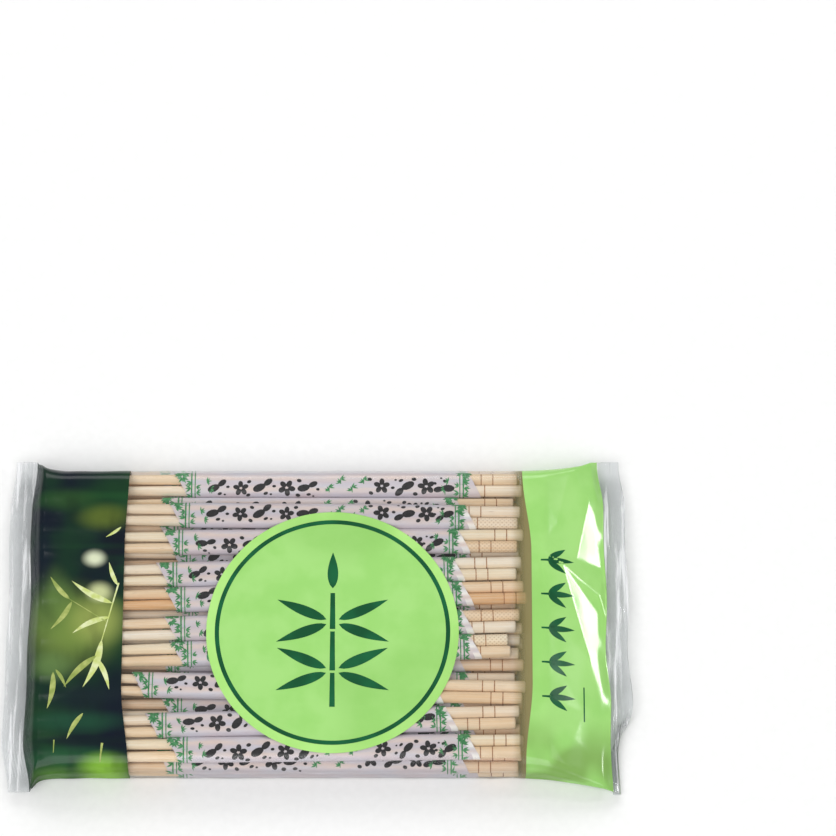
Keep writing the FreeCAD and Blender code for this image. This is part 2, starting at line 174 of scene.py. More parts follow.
def make_object(name, points, faces, materials, face_materials=None):
    """A smooth mesh object from points in millimetres."""
    mesh = bpy.data.meshes.new(name)
    mesh.from_pydata((np.asarray(points, float) * MM).tolist(), [], faces)
    for material in materials:
        mesh.materials.append(material)
    if face_materials is not None:
        mesh.polygons.foreach_set("material_index", np.asarray(face_materials, np.int32))
    mesh.polygons.foreach_set("use_smooth", np.full(len(mesh.polygons), True))
    mesh.update()
    made = bpy.data.objects.new(name, mesh)
    bpy.context.scene.collection.objects.link(made)
    return made


def add_attribute(made, name, values):
    """A vector for each point, which the materials read."""
    layer = made.data.attributes.new(name, "FLOAT_VECTOR", "POINT")
    layer.data.foreach_set("vector", np.asarray(values, np.float32).ravel())


def grid_faces(rows, columns, closed=False, first=0, flip=False):
    """The faces of a grid of points. closed joins the last column to the first."""
    faces = []
    for i in range(rows - 1):
        for j in range(columns if closed else columns - 1):
            k = (j + 1) % columns
            a = first + i * columns + j
            b = first + i * columns + k
            face = (a, b, b + columns, a + columns)
            faces.append(face[::-1] if flip else face)
    return faces


def turned_over(faces):
    """The same four-sided faces seen from the other side, each from its own first corner."""
    return [(a, d, c, b) for a, b, c, d in faces]


class Shader:
    """A short way to write a material's nodes."""

    def __init__(self, name):
        self.material = bpy.data.materials.new(name)
        self.material.use_nodes = True
        self.tree = self.material.node_tree
        self.tree.nodes.clear()
        self.output = self.node("ShaderNodeOutputMaterial")

    def node(self, kind, inputs=None, **settings):
        made = self.tree.nodes.new(kind)
        for key, value in settings.items():
            setattr(made, key, value)
        for key, value in (inputs or {}).items():
            if isinstance(value, bpy.types.NodeSocket):
                self.tree.links.new(value, made.inputs[key])
            else:
                made.inputs[key].default_value = value
        return made

    def attribute(self, name):
        return self.node("ShaderNodeAttribute", attribute_name=name).outputs["Vector"]

    def place(self):
        """The point in the pack's frame, in metres."""
        return self.node("ShaderNodeTexCoord").outputs["Object"]

    def parts(self, vector):
        return self.node("ShaderNodeSeparateXYZ", {0: vector}).outputs

    def maths(self, operation, first, second=0.0):
        return self.node("ShaderNodeMath", {0: first, 1: second}, operation=operation).outputs[0]

    def vectors(self, operation, *values):
        return self.node("ShaderNodeVectorMath", dict(enumerate(values)), operation=operation).outputs

    def scaled(self, vector, factors):
        return self.vectors("MULTIPLY", vector, factors)[0]

    def noise(self, vector, scale, detail=3.0, roughness=0.5):
        inputs = {"Vector": vector, "Scale": scale, "Detail": detail, "Roughness": roughness}
        return self.node("ShaderNodeTexNoise", inputs).outputs["Fac"]

    def spread(self, value, low, high, to_low=0.0, to_high=1.0):
        """A value from low to high, brought smoothly to another range."""
        inputs = {"Value": value, "From Min": low, "From Max": high, "To Min": to_low, "To Max": to_high}
        return self.node("ShaderNodeMapRange", inputs, interpolation_type="SMOOTHSTEP").outputs["Result"]

    def mix(self, factor, first, second, blend="MIX"):
        inputs = {0: factor, 6: first, 7: second}
        return self.node("ShaderNodeMix", inputs, data_type="RGBA", blend_type=blend).outputs[2]

    def wash(self, colour, tone, value, low, high, to_low=0.0, to_high=1.0):
        """A colour with a tone laid over it, as far as a value goes from low to high."""
        return self.mix(self.spread(value, low, high, to_low, to_high), colour, rgb(tone))

    def bump(self, height, strength, distance):
        inputs = {"Height": height, "Strength": strength, "Distance": distance}
        return self.node("ShaderNodeBump", inputs).outputs["Normal"]

    def finish(self, shader):
        self.tree.links.new(shader.outputs[0], self.output.inputs["Surface"])
        return self.material

    def surface(self, **inputs):
        """Ends the material with a plain surface. The inputs have the node's names in small letters."""
        names = {key.replace("_", " ").title().replace("Ior", "IOR"): inputs[key] for key in inputs}
        return self.finish(self.node("ShaderNodeBsdfPrincipled", names))

    def glossy_print(self, colour, place, roughness, gloss):
        """Ends the material as print with fine wrinkles: glossy on the top, dull on the steep sides."""
        facing = self.node("ShaderNodeNewGeometry").outputs["Normal"]
        gloss = self.spread(self.parts(facing)[2], 0.2, 0.75, 0.03, gloss)
        wrinkles = self.noise(self.scaled(place, (1.0, 0.6, 1.0)), 120.0)
        normal = self.bump(wrinkles, 0.1, 0.0004)
        return self.surface(
            base_color=colour, roughness=roughness, specular_ior_level=gloss, normal=normal
        )


def rgb(text):
    """A colour written as it looks on a screen, as linear light."""
    values = [int(text[i : i + 2], 16) / 255 for i in (0, 2, 4)]
    linear = [v / 12.92 if v <= 0.04045 else ((v + 0.055) / 1.055) ** 2.4 for v in values]
    return (*linear, 1.0)


def wood_material():
    """Bamboo: fine fibres along the stick, in each stick's own tone, with a grid of darker dots on some
    ends.
    """
    s = Shader("bamboo")
    grain = s.attribute("grain")
    tint = s.attribute("tint")
    fibres = s.noise(s.scaled(grain, (1.0, 1.0, 0.012)), 1.6, detail=4.0, roughness=0.65)
    clouds = s.noise(s.scaled(grain, (0.12, 0.12, 0.03)), 1.0, detail=2.0)
    flecks = s.noise(s.scaled(grain, (1.4, 1.4, 0.05)), 3.0, detail=1.0)
    dark = s.mix(1.0, tint, rgb("fbf1e2"), blend="MULTIPLY")
    light = s.mix(0.3, tint, rgb("fff6e2"))
    warm = s.mix(1.0, tint, rgb("fdefd9"), blend="MULTIPLY")
    colour = s.mix(s.spread(fibres, 0.32, 0.68), dark, light)
    colour = s.mix(s.spread(clouds, 0.3, 0.75, 0.0, 0.5), colour, warm)
    colour = s.wash(colour, "9a6b42", flecks, 0.7, 0.78, 0.0, 0.35)
    around, along, dotted = s.parts(s.attribute("dots"))
    pitch = 2 * math.pi / DOT_PITCH
    waves = [s.maths("SINE", s.maths("MULTIPLY", part, pitch)) for part in (around, along)]
    dot_grid = s.maths("MULTIPLY", s.spread(s.maths("MULTIPLY", *waves), 0.1, 0.7), dotted)
    colour = s.mix(s.maths("MULTIPLY", dot_grid, DOT_STRENGTH), colour, rgb("ae8763"))
    return s.surface(base_color=colour, roughness=0.5, normal=s.bump(fibres, 0.25, 0.0001))


def score_material():
    """The dark line burnt into a scored ring."""
    s = Shader("scored_wood")
    patches = s.noise(s.attribute("grain"), 0.9, detail=2.0)
    return s.surface(base_color=s.wash(rgb("8c5c3e"), "bd8a62", patches, 0.3, 0.7), roughness=0.75)


def sleeve_material(name, tone):
    """Thin milky film, lighter and warmer along the sticks' crests: partly the sticks' colour through
    it, partly painted light.
    """
    s = Shader(name)
    wrap = s.attribute("wrap")
    across = s.maths("ABSOLUTE", s.parts(wrap)[1])
    crest = s.maths("ABSOLUTE", s.maths("SUBTRACT", across, SLEEVE_HALF_LINE))
    cloud = s.noise(s.scaled(wrap, (0.05, 0.35, 1.0)), 1.0)
    # Painted light and shade: the crests are washed lighter and warmer, and the darker mauve tone
    # between the sticks is a painted shade.
    colour = s.wash(rgb(tone), "e3d0c8", crest, 0.0, 2.2, 1.0, 0.0)
    colour = s.wash(colour, "cdcfdb", cloud, 0.35, 0.7, 0.0, 0.6)
    creases = s.noise(s.scaled(wrap, (0.25, 1.1, 1.0)), 1.0, detail=4.0, roughness=0.6)
    return s.surface(base_color=colour, roughness=0.36, normal=s.bump(creases, 0.35, 0.0004))


def ink_material(name, first, second, scale=900.0, roughness=0.38):
    """Print in a slightly uneven tone."""
    s = Shader(name)
    patches = s.noise(s.place(), scale, detail=2.0)
    return s.surface(base_color=s.wash(rgb(first), second, patches, 0.35, 0.7), roughness=roughness)


def green_material(name="green_print", first="9bd672", second="a5dc7d", fold_shade=0.0):
    """Light green glossy print, a little uneven. Its last argument sets a painted shade: darker olive in
    patchy folds towards the near corner.
    """
    s = Shader(name)
    place = s.place()
    colour = s.wash(rgb(first), second, s.noise(place, 60.0), 0.35, 0.65)
    colour = s.wash(colour, "8dc564", s.noise(place, 21.0, detail=1.0), 0.5, 0.75, 0.0, 0.5)
    # Painted shade: darker olive in the folds of the near corner.
    folds = s.spread(s.noise(s.scaled(place, (1.0, 0.7, 1.0)), 55.0, detail=1.0), 0.38, 0.6)
    near = s.spread(s.parts(place)[1], -0.062, -0.04, fold_shade, 0.0)
    colour = s.mix(s.maths("MULTIPLY", near, folds), colour, rgb("7da552"))
    return s.glossy_print(colour, place, 0.15, 0.5)


# Soft lit places in the leaf band: middle in millimetres, reach across and along, colour and strength.
GROVE_LIGHTS = (
    ((-103.0, -5.0), (27.0, 24.0), "71893f", 0.95),
    ((-92.0, -2.0), (16.0, 15.0), "97a455", 0.8),
    ((-112.0, 6.0), (12.0, 20.0), "5d7a3c", 0.75),
    ((-111.0, -22.0), (13.0, 9.0), "6a8a4c", 0.6),
    ((-90.0, 44.0), (16.0, 8.0), "5a6a28", 0.85),
    ((-106.0, 52.0), (18.0, 7.0), "2b4f24", 0.7),
    ((-94.0, 25.5), (6.5, 5.0), "dfe6c4", 0.9),
    ((-91.5, 10.5), (7.5, 6.0), "cdd49c", 0.85),
    ((-101.0, -46.0), (30.0, 7.0), "1d4a34", 0.8),
    ((-104.0, -62.0), (34.0, 8.0), "1f5230", 0.9),
    ((-88.0, -66.0), (15.0, 8.5), "86bb3c", 0.9),
    ((-108.0, -69.0), (14.0, 6.0), "5d8f34", 0.8),
    ((-116.0, 24.0), (6.0, 26.0), "0b1626", 0.7),
    ((-98.0, -36.0), (24.0, 9.0), "0f1c26", 0.75),
    ((-98.0, -54.5), (34.0, 3.0), "0a1b20", 0.8),
)


def grove_material():
    """A bamboo grove out of focus: near-black greens, lit places and soft upright stalks."""
    s = Shader("leaf_print")
    place = s.place()
    base = s.noise(s.scaled(place, (1.0, 0.8, 0.5)), 34.0, detail=2.0)
    stalks = s.noise(s.scaled(place, (0.25, 1.7, 0.3)), 70.0, detail=1.0)
    haze = s.noise(s.scaled(place, (1.0, 0.4, 1.0)), 110.0, detail=2.0)
    colour = s.wash(rgb("091322"), "14381f", base, 0.35, 0.68)
    colour = s.wash(colour, "24582b", stalks, 0.52, 0.78, 0.0, 0.4)
    for (x, y), (across, along), tone, strength in GROVE_LIGHTS:
        shifted = s.vectors("SUBTRACT", place, (x * MM, y * MM, 0.0))[0]
        sized = s.scaled(shifted, (1 / (across * MM), 1 / (along * MM), 0.0))
        colour = s.wash(colour, tone, s.vectors("LENGTH", sized)["Value"], 0.15, 1.0, strength, 0.0)
    colour = s.wash(colour, "0b1512", haze, 0.45, 0.75, 0.0, 0.3)
    return s.glossy_print(colour, place, 0.22, 0.3)


def film_material(name, haze, highlight_streak, clearness, tone, wrinkles, mirror, shade=0.0):
    """Clear film: it lets light through, mirrors a little and carries a faint veil.

    The veil has the given tone and the strength of haze, with white streaks that add to it: painted
    highlights along the film's crimps. clearness is the colour of the light that comes through, wrinkles
    the scale and depth of the fine folds, and mirror the strength of the reflection. shade turns the
    veil olive, a painted shadow beside the green band."""
    s = Shader(name)
    place = s.place()
    scale, depth = wrinkles
    normal = s.bump(s.noise(s.scaled(place, (1.0, 0.5, 1.0)), scale), 0.25, depth)
    along = s.parts(place)[0]
    rise = s.spread(along, 0.081, 0.0895, 0.0, shade)
    near_band = s.maths("MULTIPLY", rise, s.spread(along, 0.09, 0.0925, 1.0, 0.0))
    # Painted highlights: white streaks of veil along the crimps.
    streaks = s.noise(s.scaled(place, (1.0, 0.05, 0.3)), 420.0, roughness=0.6)
    amount = s.maths("ADD", near_band, s.spread(streaks, 0.5, 0.72, haze, haze + highlight_streak))
    veil = s.node("ShaderNodeBsdfDiffuse", {"Color": s.wash(rgb(tone), "a79b6a", near_band, 0.0, 0.1)})
    clear = s.node("ShaderNodeBsdfTransparent", {"Color": (*clearness, 1.0)})
    shine = {"Color": (1, 1, 1, 1), "Roughness": FILM_ROUGHNESS, "Normal": normal}
    gloss = s.node("ShaderNodeBsdfGlossy", shine)
    fresnel = s.node("ShaderNodeFresnel", {"IOR": FILM_IOR, "Normal": normal})
    edge = s.maths("MULTIPLY", fresnel.outputs[0], mirror)
    mirrored = s.node("ShaderNodeMixShader", {0: edge, 1: clear.outputs[0], 2: gloss.outputs[0]})
    milky = s.node("ShaderNodeMixShader", {0: amount, 1: mirrored.outputs[0], 2: veil.outputs[0]})
    return s.finish(milky)


def floor_material():
    s = Shader("floor")
    speckle = s.noise(s.place(), 300.0, detail=2.0)
    colour = s.mix(s.spread(speckle, 0.3, 0.7), (0.9, 0.9, 0.89, 1.0), (0.92, 0.92, 0.91, 1.0))
    return s.surface(base_color=colour, roughness=0.6)


# Where the sticks and sleeves lie, read from the frame.


def node_points(node):
    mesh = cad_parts[node].data
    points = np.empty(len(mesh.vertices) * 3, np.float32)
    mesh.vertices.foreach_get("co", points)
    return points.reshape(-1, 3).astype(float) / MM


def stick_line(points):
    """A stick's thick end, its direction towards the tip, its length and its scored rings' places."""
    thick = points[:, 0].max()
    level = (points[:, 2].max() + points[:, 2].min()) / 2
    body = points[points[:, 0] > thick - 120.0]
    fit = np.polyfit(body[:, 0], body[:, 1], 1)
    direction = Vector((-1.0, -fit[0], 0.0)).normalized()
    end = Vector((thick, fit[0] * thick + fit[1], level))
    offsets = points - np.array(end)
    along = offsets @ np.array(direction)
    away = np.linalg.norm(offsets - along[:, None] * np.array(direction), axis=1)
    shallow = (away < STICK_RADIUS - 0.08) & (away > STICK_RADIUS - 0.3)
    cut = along[(along > 3.0) & (along < 40.0) & shallow]
    rings = []
    for place in np.sort(cut):
        if not rings or place - rings[-1] > 1.0:
            rings.append(float(place))
    return end, direction, float(along.max()), rings


def pair_lines(node):
    """The two sticks of a pair, far one first."""
    points = node_points(node)
    fit = np.polyfit(points[:, 0], points[:, 1], 1)
    side = points[:, 1] - (fit[0] * points[:, 0] + fit[1])
    return [stick_line(points[side > 0]), stick_line(points[side < 0])]


PAIRS = {node: pair_lines(node) for node in sorted(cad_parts) if node.startswith("chopsticks_")}
PAIR_NAMES = sorted(PAIRS)
LAYER = 12
BOTTOM_PAIRS = PAIR_NAMES[:LAYER]
MIDDLE_PAIRS = PAIR_NAMES[LAYER : 2 * LAYER]
TOP_PAIRS = PAIR_NAMES[2 * LAYER :]


def pair_axis(node):
    """A point on the middle line of a pair, at its thick ends, and the direction towards the tips."""
    (end_a, direction, _, _), (end_b, _, _, _) = PAIRS[node]
    return (end_a + end_b) / 2, direction


def pair_across(node, x):
    """Where the middle line of a pair lies along Y, at x."""
    middle, direction = pair_axis(node)
    return middle.y + (x - middle.x) * direction.y / direction.x


# The film's surface.


def smoothstep(value, low, high):
    share = np.clip((value - low) / (high - low), 0.0, 1.0)
    return share * share * (3 - 2 * share)


def body_half_breadth():
    points = node_points("film_wrapper")
    return float(points[np.abs(points[:, 0]) < 80.0][:, 1].max())


BODY_HALF = body_half_breadth()


def film_profile():
    """The pack's half breadth, underside, top and groove along X, with the corners eased."""
    rows = [(FILM_LOW.x, 1.0, 0.0, 0.0, 0.0)]
    for along, rise, fall, spread in TIP_STEPS:
        rows.append((TIP_SEAL + TIP_SHOULDER * along, spread, rise, fall, 1.0))
    rows.append((-80.0, 0.0, 1.0, 1.0, 0.0))
    for along, rise, fall, spread in reversed(END_STEPS):
        rows.append((END_SEAL - END_SHOULDER * along, spread, rise, fall, 0.0))
    rows.append((FILM_HIGH.x, 1.0, 0.0, 0.0, 0.0))
    table = np.array(rows)
    xs = np.arange(FILM_LOW.x, FILM_HIGH.x + PROFILE_STEP, PROFILE_STEP)
    spread, rise, fall, drop = (np.interp(xs, table[:, 0], table[:, k]) for k in (1, 2, 3, 4))
    seal_low = SEAL_LEVEL - SEAL_THICKNESS / 2
    seal_high = SEAL_LEVEL + SEAL_THICKNESS / 2
    half = BODY_HALF + (FILM_HIGH.y - BODY_HALF) * spread
    low = seal_low * (1 - fall)
    high = seal_high + (FILM_TOP - TIP_DROP * drop - seal_high) * rise
    groove = FIN_THICKNESS * fall
    inside = (xs > TIP_SEAL + 0.3) & (xs < END_SEAL - 0.3)
    eased = []
    for values, reach in ((half, 3.0), (low, 2.0), (high, 1.6), (groove, 2.0)):
        count = int(reach / PROFILE_STEP) * 2 + 1
        padded = np.pad(values, count // 2, mode="edge")
        smooth = np.convolve(padded, np.ones(count) / count, mode="valid")
        eased.append(np.where(inside, smooth, values))
    return xs, eased


PROFILE_X, PROFILE = film_profile()


def profile_at(x):
    return [np.interp(x, PROFILE_X, values) for values in PROFILE]


# Creases in the film: points with their height over the plain film, in millimetres. The film between
# them is flat, so it shows facets. Points without height hold the net down.
CREASE_POINTS = (
    # By the thick ends.
    (115.3, 53.2, 0.95), (109.9, 27.5, 0.6), (121.0, 24.0, -0.5), (103.6, 23.9, 1.6),
    (119.0, 11.5, 1.0), (114.9, -16.5, 0.58), (119.8, -12.2, 0.14), (119.2, -47.2, 0.2),
    (112.0, -40.5, 0.35), (104.0, -26.5, 0.15), (97.0, 0.5, 0.1), (94.0, 29.5, 0.0),
    (102.0, 42.5, -0.4), (93.5, -46.5, -0.6), (104.0, -63.5, 0.0), (107.5, -52.0, 0.3),
    (113.8, -58.0, 0.3), (118.0, -66.5, 0.3), (92.0, -34.5, 0.0), (108.0, 70.0, 0.3),
    (90.0, 70.0, 0.0), (90.0, -70.0, 0.0), (90.0, -4.5, 0.0), (122.0, 73.0, 0.0),
    (122.0, 38.0, 0.0), (122.0, 0.0, 0.0), (122.0, -30.0, 0.0), (122.0, -73.0, 0.0),
    # By the tips.
    (-110.0, 47.5, -0.7), (-104.0, 25.5, 0.35), (-110.5, 9.5, -0.5), (-99.0, -0.5, 0.2),
    (-108.0, -20.5, 0.3), (-111.0, -38.5, -0.5), (-101.0, -51.5, 0.4), (-110.0, -64.5, -0.3),
    (-96.0, 53.5, -0.2), (-88.0, 35.5, 0.0), (-86.0, 7.5, 0.0), (-87.0, -24.5, 0.0),
    (-88.0, -54.5, 0.0), (-88.0, 70.0, 0.0), (-88.0, -70.0, 0.0), (-121.5, 73.0, 0.0),
    (-121.5, 31.5, 0.0), (-121.5, 5.5, 0.0), (-121.5, -26.5, 0.0), (-121.5, -52.5, 0.0),
    (-121.5, -73.0, 0.0),
    # Over the sleeves, where the film stays flat.
    (70.0, 70.0, 0.0), (70.0, -4.5, 0.0), (70.0, -70.0, 0.0), (-70.0, 70.0, 0.0),
    (-70.0, -4.5, 0.0), (-70.0, -70.0, 0.0),
)
# Pairs of those points that a crease joins.
CREASE_LINES = (
    (0, 1), (1, 2), (0, 2), (1, 3), (2, 3), (3, 4), (3, 5), (3, 6), (5, 6),
    (5, 7), (6, 7), (7, 8), (5, 9), (13, 14), (13, 15), (14, 16), (15, 16), (16, 17),
)


def crease_triangles():
    flat = [Vector(point[:2]) for point in CREASE_POINTS]
    points, _, faces, _, _, _ = geometry.delaunay_2d_cdt(flat, CREASE_LINES, [], 0, 0.001)
    heights = []
    for point in points:
        nearest = min(CREASE_POINTS, key=lambda known: math.dist(known[:2], point))
        heights.append(nearest[2])
    return [[(points[k].x, points[k].y, heights[k]) for k in face] for face in faces]


TRIANGLES = crease_triangles()


def crease_height(x, y):
    """The height of the net of creases."""
    total = np.zeros_like(x)
    for (ax, ay, az), (bx, by, bz), (cx, cy, cz) in TRIANGLES:
        area = (by - cy) * (ax - cx) + (cx - bx) * (ay - cy)
        if az == bz == cz == 0.0 or abs(area) < 1e-6:
            continue
        u = ((by - cy) * (x - cx) + (cx - bx) * (y - cy)) / area
        v = ((cy - ay) * (x - cx) + (ax - cx) * (y - cy)) / area
        w = 1 - u - v
        inside = (u >= 0) & (v > 0) & (w > 0)
        total = np.where(inside, u * az + v * bz + w * cz, total)
    return total


def pucker_height(x, y):
    """Short folds that start at each seal and die out on the body."""
    waves = 0.0
    for length, phase in ((21.0, 0.7), (12.6, 2.1), (7.9, 4.0)):
        waves = waves + (1 - 2 * np.abs(np.sin(math.pi * y / length + phase))) * length / 21.0
    from_tip, from_end = x - TIP_SEAL, END_SEAL - x
    tip = smoothstep(from_tip, 0.0, 5.0) * (1 - smoothstep(from_tip, 6.0, 22.0))
    end = smoothstep(from_end, 0.0, 6.0) * (1 - smoothstep(from_end, 8.0, 30.0))
    return waves * (TIP_PUCKERS * tip + END_PUCKERS * end)


def sag_height(x, y):
    """The film dips a little between the pairs of the top layer."""
    total = np.zeros_like(x)
    over = smoothstep(x, -112.0, -100.0) * (1 - smoothstep(x, 84.0, 96.0))
    for first, second in zip(TOP_PAIRS[:-1], TOP_PAIRS[1:]):
        ya, yb = pair_across(first, x), pair_across(second, x)
        free = np.maximum(ya - yb - 10.5, 0.0)
        middle = (ya + yb) / 2
        depth = np.minimum(SAG_SHARE * free, SAG_LIMIT)
        total -= depth * np.exp(-(((y - middle) / (free * 0.5 + 1.6)) ** 2)) * over
    return total


def wave_noise(x, y, scale, seed):
    """Smooth noise from a few crossed waves."""
    rng = random.Random(seed)
    total = 0.0
    for _ in range(9):
        angle = rng.uniform(0, math.pi)
        length = scale * rng.uniform(0.6, 1.7)
        phase = rng.uniform(0, 2 * math.pi)
        along = x * math.cos(angle) + y * math.sin(angle)
        total = total + np.sin(2 * math.pi * along / length + phase)
    return total / 9 * 1.6


def top_relief(x, y):
    body = smoothstep(x, TIP_SEAL, TIP_SEAL + 8.0) * (1 - smoothstep(x, END_SEAL - 6.0, END_SEAL))
    relief = crease_height(x, y) * smoothstep(x, TIP_SEAL - 0.5, TIP_SEAL + 2.5)
    relief = relief * (1 - smoothstep(x, END_SEAL - 2.0, END_SEAL + 1.0))
    calm = 0.05 - 0.035 * smoothstep(x, 92.0, 104.0)
    return relief + pucker_height(x, y) + sag_height(x, y) + calm * wave_noise(x, y, 17.0, 3) * body


def bottom_relief(x, y):
    body = smoothstep(x - TIP_SEAL, 14.0, 22.0) * (1 - smoothstep(x - END_SEAL, -36.0, -30.0))
    return pucker_height(x, y + 5.0) * (1 - body) * 0.8


def seal_relief(x, y):
    """The seals wave along their length and carry fine crimps."""
    tip = 1 - smoothstep(x, TIP_SEAL - 0.5, TIP_SEAL + 4.0)
    end = smoothstep(x, END_SEAL - 4.0, END_SEAL + 0.5)
    waves = 0.55 * np.sin(y / 11.0 + 0.5) + 0.4 * np.sin(y / 6.3 + 2.0)
    droop = -SEAL_DROOP * smoothstep(np.abs(y), 48.0, 71.0)
    inside = (x < TIP_SEAL - 0.6) | (x > END_SEAL + 0.6)
    depth = 0.07 + 0.05 * wave_noise(x * 3.0, y, 21.0, 14)
    crimps = np.where(inside, depth * np.sin(2 * math.pi * x / CRIMP_PITCH), 0.0)
    return (waves + droop) * (tip + end) + crimps


def end_shift(x, y):
    """How far the film's ends move along X: they wave, draw in at the corners and swell at one."""
    edge = (1 - smoothstep(x, TIP_SEAL, TIP_SEAL + 9.0)) + smoothstep(x, END_SEAL - 12.0, END_SEAL)
    waves = 0.5 * np.sin(y / 16.0 + 1.0) + 0.35 * np.sin(y / 7.0)
    corners = CORNER_DRAW * smoothstep(np.abs(y), 52.0, 71.0)
    swell = NEAR_SWELL * smoothstep(-y, 8.0, 36.0)
    pull = np.where(x < 0, corners, np.where(y < 0, swell, -corners))
    return (waves + pull) * edge * 0.8


def curl(x, y, lift):
    """The seal at the thick ends rolls under towards the near corner.

    lift is the height over the seal's middle. Returns the new x and the drop."""
    start = END_SEAL + end_shift(np.full_like(x, END_SEAL), y)
    bend = CURL * smoothstep(-y, 33.0, 58.0) + 1e-4
    turn = bend * np.maximum(x - start, 0.0)
    radius = 1 / bend + lift
    return np.minimum(x, start) + np.sin(turn) * radius, (1 - np.cos(turn)) * radius


TOP_POINTS = 150
CORNER_POINTS = 12
LOWER_POINTS = 7
SIDE_POINTS = 5
BOTTOM_POINTS = 46


def midpoints(count):
    """The middles of equal parts of the way from 0 to 1."""
    return [(i + 0.5) / count for i in range(count)]


def section_points(x):
    """The points round the film at each x, from the middle of the underside and back to it.

    Returns their y and z, the outward normal's y and z, and their share in the top and in the bottom."""
    half, low, high, groove = profile_at(x)
    scale = (high - low) / FILM_TOP
    lower = LOWER_ROUND * scale
    upper = UPPER_ROUND * scale
    ones = np.ones_like(x)
    columns = []

    def put(y, z, ny, nz, top=0.0, bottom=0.0):
        columns.append(np.stack([y, z, ny * ones, nz * ones, top * ones, bottom * ones], axis=-1))

    def underside(start, end):
        for share in midpoints(BOTTOM_POINTS):
            y = start + (end - start) * share
            near = np.clip((FIN_WIDTH / 2 + FIN_RAMP - np.abs(y - FIN_PLACE)) / GROOVE_RAMP, 0.0, 1.0)
            put(y, low + groove * near, 0.0, -1.0, bottom=1.0)

    def quarter(side, centre_y, centre_z, radius, start, sweep, count):
        for share in midpoints(count):
            angle = math.radians(start + sweep * share)
            ny, nz = side * math.cos(angle), math.sin(angle)
            put(centre_y + radius * ny, centre_z + radius * nz, ny, nz, max(nz, 0.0), max(-nz, 0.0))

    def wall(side, start, end):
        for share in midpoints(SIDE_POINTS):
            put(side * half, start + (end - start) * share, side, 0.0)

    underside(0.0, half - lower)
    quarter(1, half - lower, low + lower, lower, -90.0, 90.0, LOWER_POINTS)
    wall(1, low + lower, high - upper)
    quarter(1, half - upper, high - upper, upper, 0.0, 90.0, CORNER_POINTS)
    for share in midpoints(TOP_POINTS):
        put((half - upper) * (1 - 2 * share), high, 0.0, 1.0, top=1.0)
    quarter(-1, upper - half, high - upper, upper, 90.0, -90.0, CORNER_POINTS)
    wall(-1, high - upper, low + lower)
    quarter(-1, lower - half, low + lower, lower, 0.0, -90.0, LOWER_POINTS)
    underside(lower - half, 0.0)
    return np.stack(columns, axis=1)


def film_points(xs, offset):
    """The film's surface at each x, pushed out by offset. Rows go along X, columns round the pack."""
    xs = np.asarray(xs, float)
    table = section_points(xs)
    x = np.repeat(xs[:, None], table.shape[1], axis=1)
    y, z, ny, nz, top, bottom = (table[:, :, k] for k in range(6))
    side = np.clip(1 - top - bottom, 0.0, 1.0)
    push = top_relief(x, y) * top - bottom_relief(x, y) * bottom
    push = push + SIDE_WAVES * wave_noise(x, z * 3, 19.0, 8) * side + offset
    curled, drop = curl(x + end_shift(x, y), y, z + nz * push - SEAL_LEVEL)
    points = np.stack([curled, y + ny * push, z + nz * push + seal_relief(x, y) - drop], axis=-1)
    lowest = max(FILM_CLEARANCE - offset, 0.0)
    points[:, :, 2] = np.maximum(points[:, :, 2], lowest)
    return points


def top_at(x, y, offset):
    """Points on top of the film at x and y, for print that stays clear of the steep sides."""
    x, y = np.asarray(x, float), np.asarray(y, float)
    half, low, high, _ = profile_at(x)
    upper = UPPER_ROUND * (high - low) / FILM_TOP
    over = np.clip((np.abs(y) - (half - upper)) / upper, 0.0, 0.95)
    facing = np.sqrt(1 - over * over)
    z = high - upper * (1 - facing) + (top_relief(x, y) + offset) * facing + seal_relief(x, y)
    return np.stack([x + end_shift(x, y), y, z], axis=-1)


# The pieces.

WOOD = wood_material()
SCORED = score_material()
SLEEVE = sleeve_material("sleeve_film", "d4c7cc")
SLEEVE_END = sleeve_material("sleeve_margin", "fcf8f2")
BLACK_INK = ink_material("black_ink", "0f0d10", "231f22")
GREEN_INK = ink_material("green_ink", "2f8047", "559f66")
GREEN = green_material()
BAND_GREEN = green_material("green_band_print", fold_shade=0.85)
RIM_GREEN = green_material("green_rim", "a9e27a", "b3e885")
DARK_GREEN = ink_material("dark_print", "0b4f2c", "12633a", scale=70.0, roughness=0.16)
WHITE = ink_material("white_print", "eef0ec", "f8f9f6", scale=90.0, roughness=0.3)
GROVE = grove_material()
LEAF_PALE = ink_material("leaf_pale", "c2cf74", "dfe6b4", scale=260.0)
LEAF_DIM = ink_material("leaf_dim", "8a9c48", "b3bd6c", scale=260.0)
FILM = film_material(
    "clear_film", 0.012, 0.0, (0.985, 0.99, 0.985), "f4f6f5", (90.0, 0.0003), 0.55, shade=0.6
)
# The seals' veil carries white streaks, painted highlights.
SEAL_FILM = film_material("seal_film", 0.05, 0.75, (0.93, 0.94, 0.945), "fbfcfd", (260.0, 0.0008), 1.2)


def finish_piece(made, slot, *nodes):
    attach(made, "root")
    if nodes:
        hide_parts(*nodes)
    return made


def ring_of(centre, across, up, radius):
    """Points of a circle across a stick."""
    angles = [2 * math.pi * i / STICK_SIDES for i in range(STICK_SIDES)]
    return [centre + (across * math.cos(angle) + up * math.sin(angle)) * radius for angle in angles]


# The sticks' tones, as seen. The hidden layers have some of the first and darker ones, a painted shade
# for the layers beneath.
TINTS = ("f1e7d3", "efdec7", "f2ebe1", "edd8bd", "f0e1cd", "f0e4d5", "ebd3b5")
SHADED_TINTS = ("e7cdb3", "ead5bd", "e2c4a8")
ORANGE_TINT = "e2b685"
ORANGE_STICK = ("chopsticks_28", 1)
DOTTED_STICKS = (("chopsticks_25", 1), ("chopsticks_26", 1), ("chopsticks_29", 0), ("chopsticks_30", 0))


